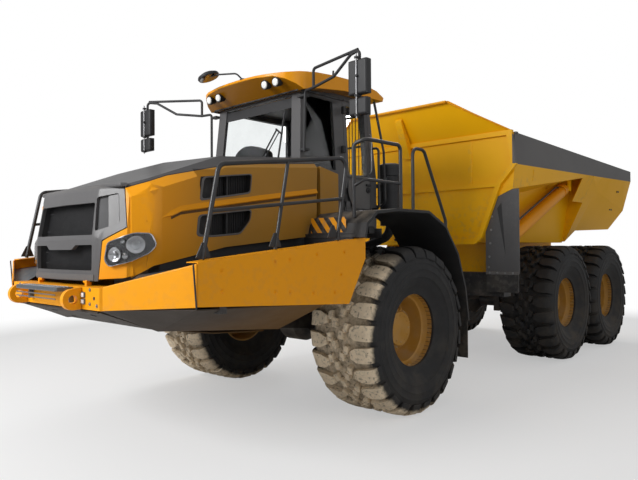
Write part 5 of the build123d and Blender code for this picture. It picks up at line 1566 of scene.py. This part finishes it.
# --- bed, hoist and running gear ------------------------------------------------------------------------
class TRUCK_OT_bed(bpy.types.Operator):
    """Lips, gussets, bolts and shields of the load bed, and the hoists' glands and pipes"""
    bl_idname = "truck.bed"
    bl_label = "Bed fittings"

    def execute(self, context):
        self.lips()
        self.shields()
        self.gussets()
        self.hoists()
        return {"FINISHED"}

    def lips(self):
        lip = pipe("lip", [(-0.912, 2.165, 4.01), (0.912, 2.165, 4.01)], 0.016, 0)
        edges = [pipe("lip", [(s * 0.925, 2.205, 4.008), (s * 1.765, 2.52, 3.52)], 0.012, 0)
                 for s in (1, -1)]
        put("guard_lips", [lip] + edges, "dump_bed", "yellow_paint")
        for side in (1, -1):
            rail = brick("rail", (side * 1.8 - 0.02, 2.575, 3.478), (side * 1.8 + 0.02, 2.64, 3.508), 0.006)
            fit(rail, "dump_bed", "band_paint").name = f"bed_rail_{'left' if side > 0 else 'right'}"
        ribs = [slab("rib", [(u, 2.535, z) for u, z in rectangle((x - 0.035, 2.79), (x + 0.035, 3.44))],
                     (0, 0.03, 0), 0.008) for x in (-1.1, 1.1)]
        put("headboard_ribs", ribs, "dump_bed", "bed_paint")

    def shields(self):
        """Dark slot, bolts and clamp strip of the mud shields, and their rubber flaps."""
        slot = slab("slot", [(1.52, 2.56, 2.42), (1.585, 2.56, 2.5), (1.64, 2.56, 1.74)], (0, -0.0025, 0),
                    0.0008, 0.012)
        heads = [bolt("head", at(1.375 + 0.075 * share, 2.561, 1.52 + 0.98 * share), -Y, 0.012, 0.01)
                 for share in (0.04, 0.2, 0.4, 0.6, 0.8, 0.96)]
        heads += [bolt("head", at(x, 2.538, 1.478), -Y, 0.011, 0.009) for x in (1.4, 1.52, 1.64, 1.76)]
        middle_x = 1.59
        flap = brick("flap", (middle_x - 0.245, 2.548, 1.2), (middle_x + 0.245, 2.56, 1.485), 0.004, 2)
        strip = brick("strip", (middle_x - 0.25, 2.538, 1.455), (middle_x + 0.25, 2.549, 1.5), 0.003, 1)
        put("shield_slots", [slot], "dump_bed", "black_plastic", pair=True)
        put("shield_bolts", heads, "dump_bed", "bare_steel", pair=True)
        put("shield_flaps", [flap], "dump_bed", "flap_rubber", pair=True)
        put("shield_strips", [strip], "dump_bed", "band_paint", pair=True)

    def gussets(self):
        """Plates and bolts along the bed's sides."""
        heads = [bolt("head", struck("bed_shell", (2.4, y, z), (-1, 0, 0)), X, 0.016, 0.012)
                 for y, z in ((7.3, 2.95), (7.38, 2.95), (7.3, 2.6), (7.38, 2.6))]
        put("bed_bolts", heads, "dump_bed", "black_paint", pair=True)
        pieces = []
        for y in (3.2, 3.9, 4.6):
            low, high = (struck("bed_shell", (2.4, y, z), (-1, 0, 0)) for z in (2.85, 3.02))
            corners = [low, low + Y * 0.05, high + Y * 0.03, high]
            pieces.append(plate("gusset", corners, X * 0.006, 0.002, 1))
        put("side_gussets", pieces, "dump_bed", "bed_paint", pair=True)

    def hoists(self):
        """Gland, end ring and pipe of each hoist."""
        for name in SIDES:
            low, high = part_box(f"hoist_barrel_{name}")
            rod_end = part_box(f"hoist_rod_{name}")[1]
            x = (low[0] + high[0]) / 2
            start = Vector((x, low[1] + 0.1, low[2] + 0.1))
            axis = (Vector((x, rod_end[1] - 0.055, rod_end[2] - 0.055)) - start).normalized()
            length = (Vector((x, high[1], high[2])) - start).length - 0.09
            gland = [(length - 0.14, 0.1), (length - 0.14, 0.112), (length - 0.03, 0.112),
                     (length - 0.01, 0.104), (length - 0.01, 0.07)]
            pieces = [turned("gland", gland, start, axis, 40),
                      hoop(0.26, 0.04, 0.1, 0.108, start, axis, 40)]
            put(f"hoist_gland_{name}", pieces, f"hoist_barrel_{name}", "yellow_paint")
            lift = axis.cross(X).normalized()
            if lift.z < 0:
                lift = -lift
            places = ((0.22, 0.095), (0.3, 0.135), (length - 0.3, 0.135), (length - 0.18, 0.095))
            line = [start + axis * along + lift * out for along, out in places]
            fit(tube(f"hoist_pipe_{name}", line, 0.016, 0.05), f"hoist_barrel_{name}", "black_paint")


class TRUCK_OT_running(bpy.types.Operator):
    """Hoses along the chassis and by the ladder, and the holes in the pan"""
    bl_idname = "truck.running"
    bl_label = "Running gear"

    def execute(self, context):
        hose = settings("fittings").hose
        pieces = []
        for x in (0.16, 0.22, 0.28, 0.34):
            pieces.append(pipe("hose", [(x, 0.55, 1.46), (x, 0.95, 1.5), (x + 0.03, 1.22, 1.46),
                                        (x + 0.02, 1.3, 1.3)], hose, 0.08))
        put("frame_hoses", pieces, "front_unit", "flap_rubber", pair=True)
        loops = []
        for k, x in enumerate((1.02, 1.1, 1.18)):
            loops.append(pipe("loop", [(x, 0.72, 1.95), (x + 0.05, 0.8, 2.06 + 0.03 * k),
                                       (x + 0.02, 0.95, 2.02), (x, 1.0, 1.8)], hose, 0.07))
        put("step_hoses", loops, "front_unit", "flap_rubber")
        openings = []
        for y, z, slope in ((-3.05, 1.262, 0.386), (-2.86, 1.189, 0.386), (-2.45, 1.096, 0.165),
                            (-2.15, 1.047, 0.165)):
            normal = Vector((0, -slope, -1)).normalized()
            openings.append(disc("hole", 0.03, 0.003, at(0.4, y, z), normal))
        put("belly_holes", openings, pair=True)
        return {"FINISHED"}


# --- panel and running order ----------------------------------------------------------------------------
PROPERTIES = {"paint": TruckPaint, "tyre": TruckTyre, "fittings": TruckFittings}
STEPS = [TRUCK_OT_stage, TRUCK_OT_finishes, TRUCK_OT_tyres, TRUCK_OT_rims,
         TRUCK_OT_hood, TRUCK_OT_cab, TRUCK_OT_panels, TRUCK_OT_bed,
         TRUCK_OT_running]


class TRUCK_PT_panel(bpy.types.Panel):
    """The truck's steps and sizes"""
    bl_label = "Articulated dump truck"
    bl_idname = "TRUCK_PT_panel"
    bl_space_type = "VIEW_3D"
    bl_region_type = "UI"
    bl_category = "Truck"

    def draw(self, context):
        for name, kind in PROPERTIES.items():
            column = self.layout.box().column()
            column.label(text=kind.__doc__)
            for key in kind.__annotations__:
                column.prop(getattr(context.scene, "truck_" + name), key)
        for step in STEPS:
            self.layout.operator(step.bl_idname)


def register():
    for kind in (*PROPERTIES.values(), *STEPS, TRUCK_PT_panel):
        bpy.utils.register_class(kind)
    for name, kind in PROPERTIES.items():
        setattr(bpy.types.Scene, "truck_" + name, bpy.props.PointerProperty(type=kind))


def unregister():
    for name in PROPERTIES:
        delattr(bpy.types.Scene, "truck_" + name)
    for kind in reversed((*PROPERTIES.values(), *STEPS, TRUCK_PT_panel)):
        bpy.utils.unregister_class(kind)


def main():
    register()
    for step in STEPS:
        group, name = step.bl_idname.split(".")
        getattr(getattr(bpy.ops, group), name)()


if __name__ == "__main__":
    main()
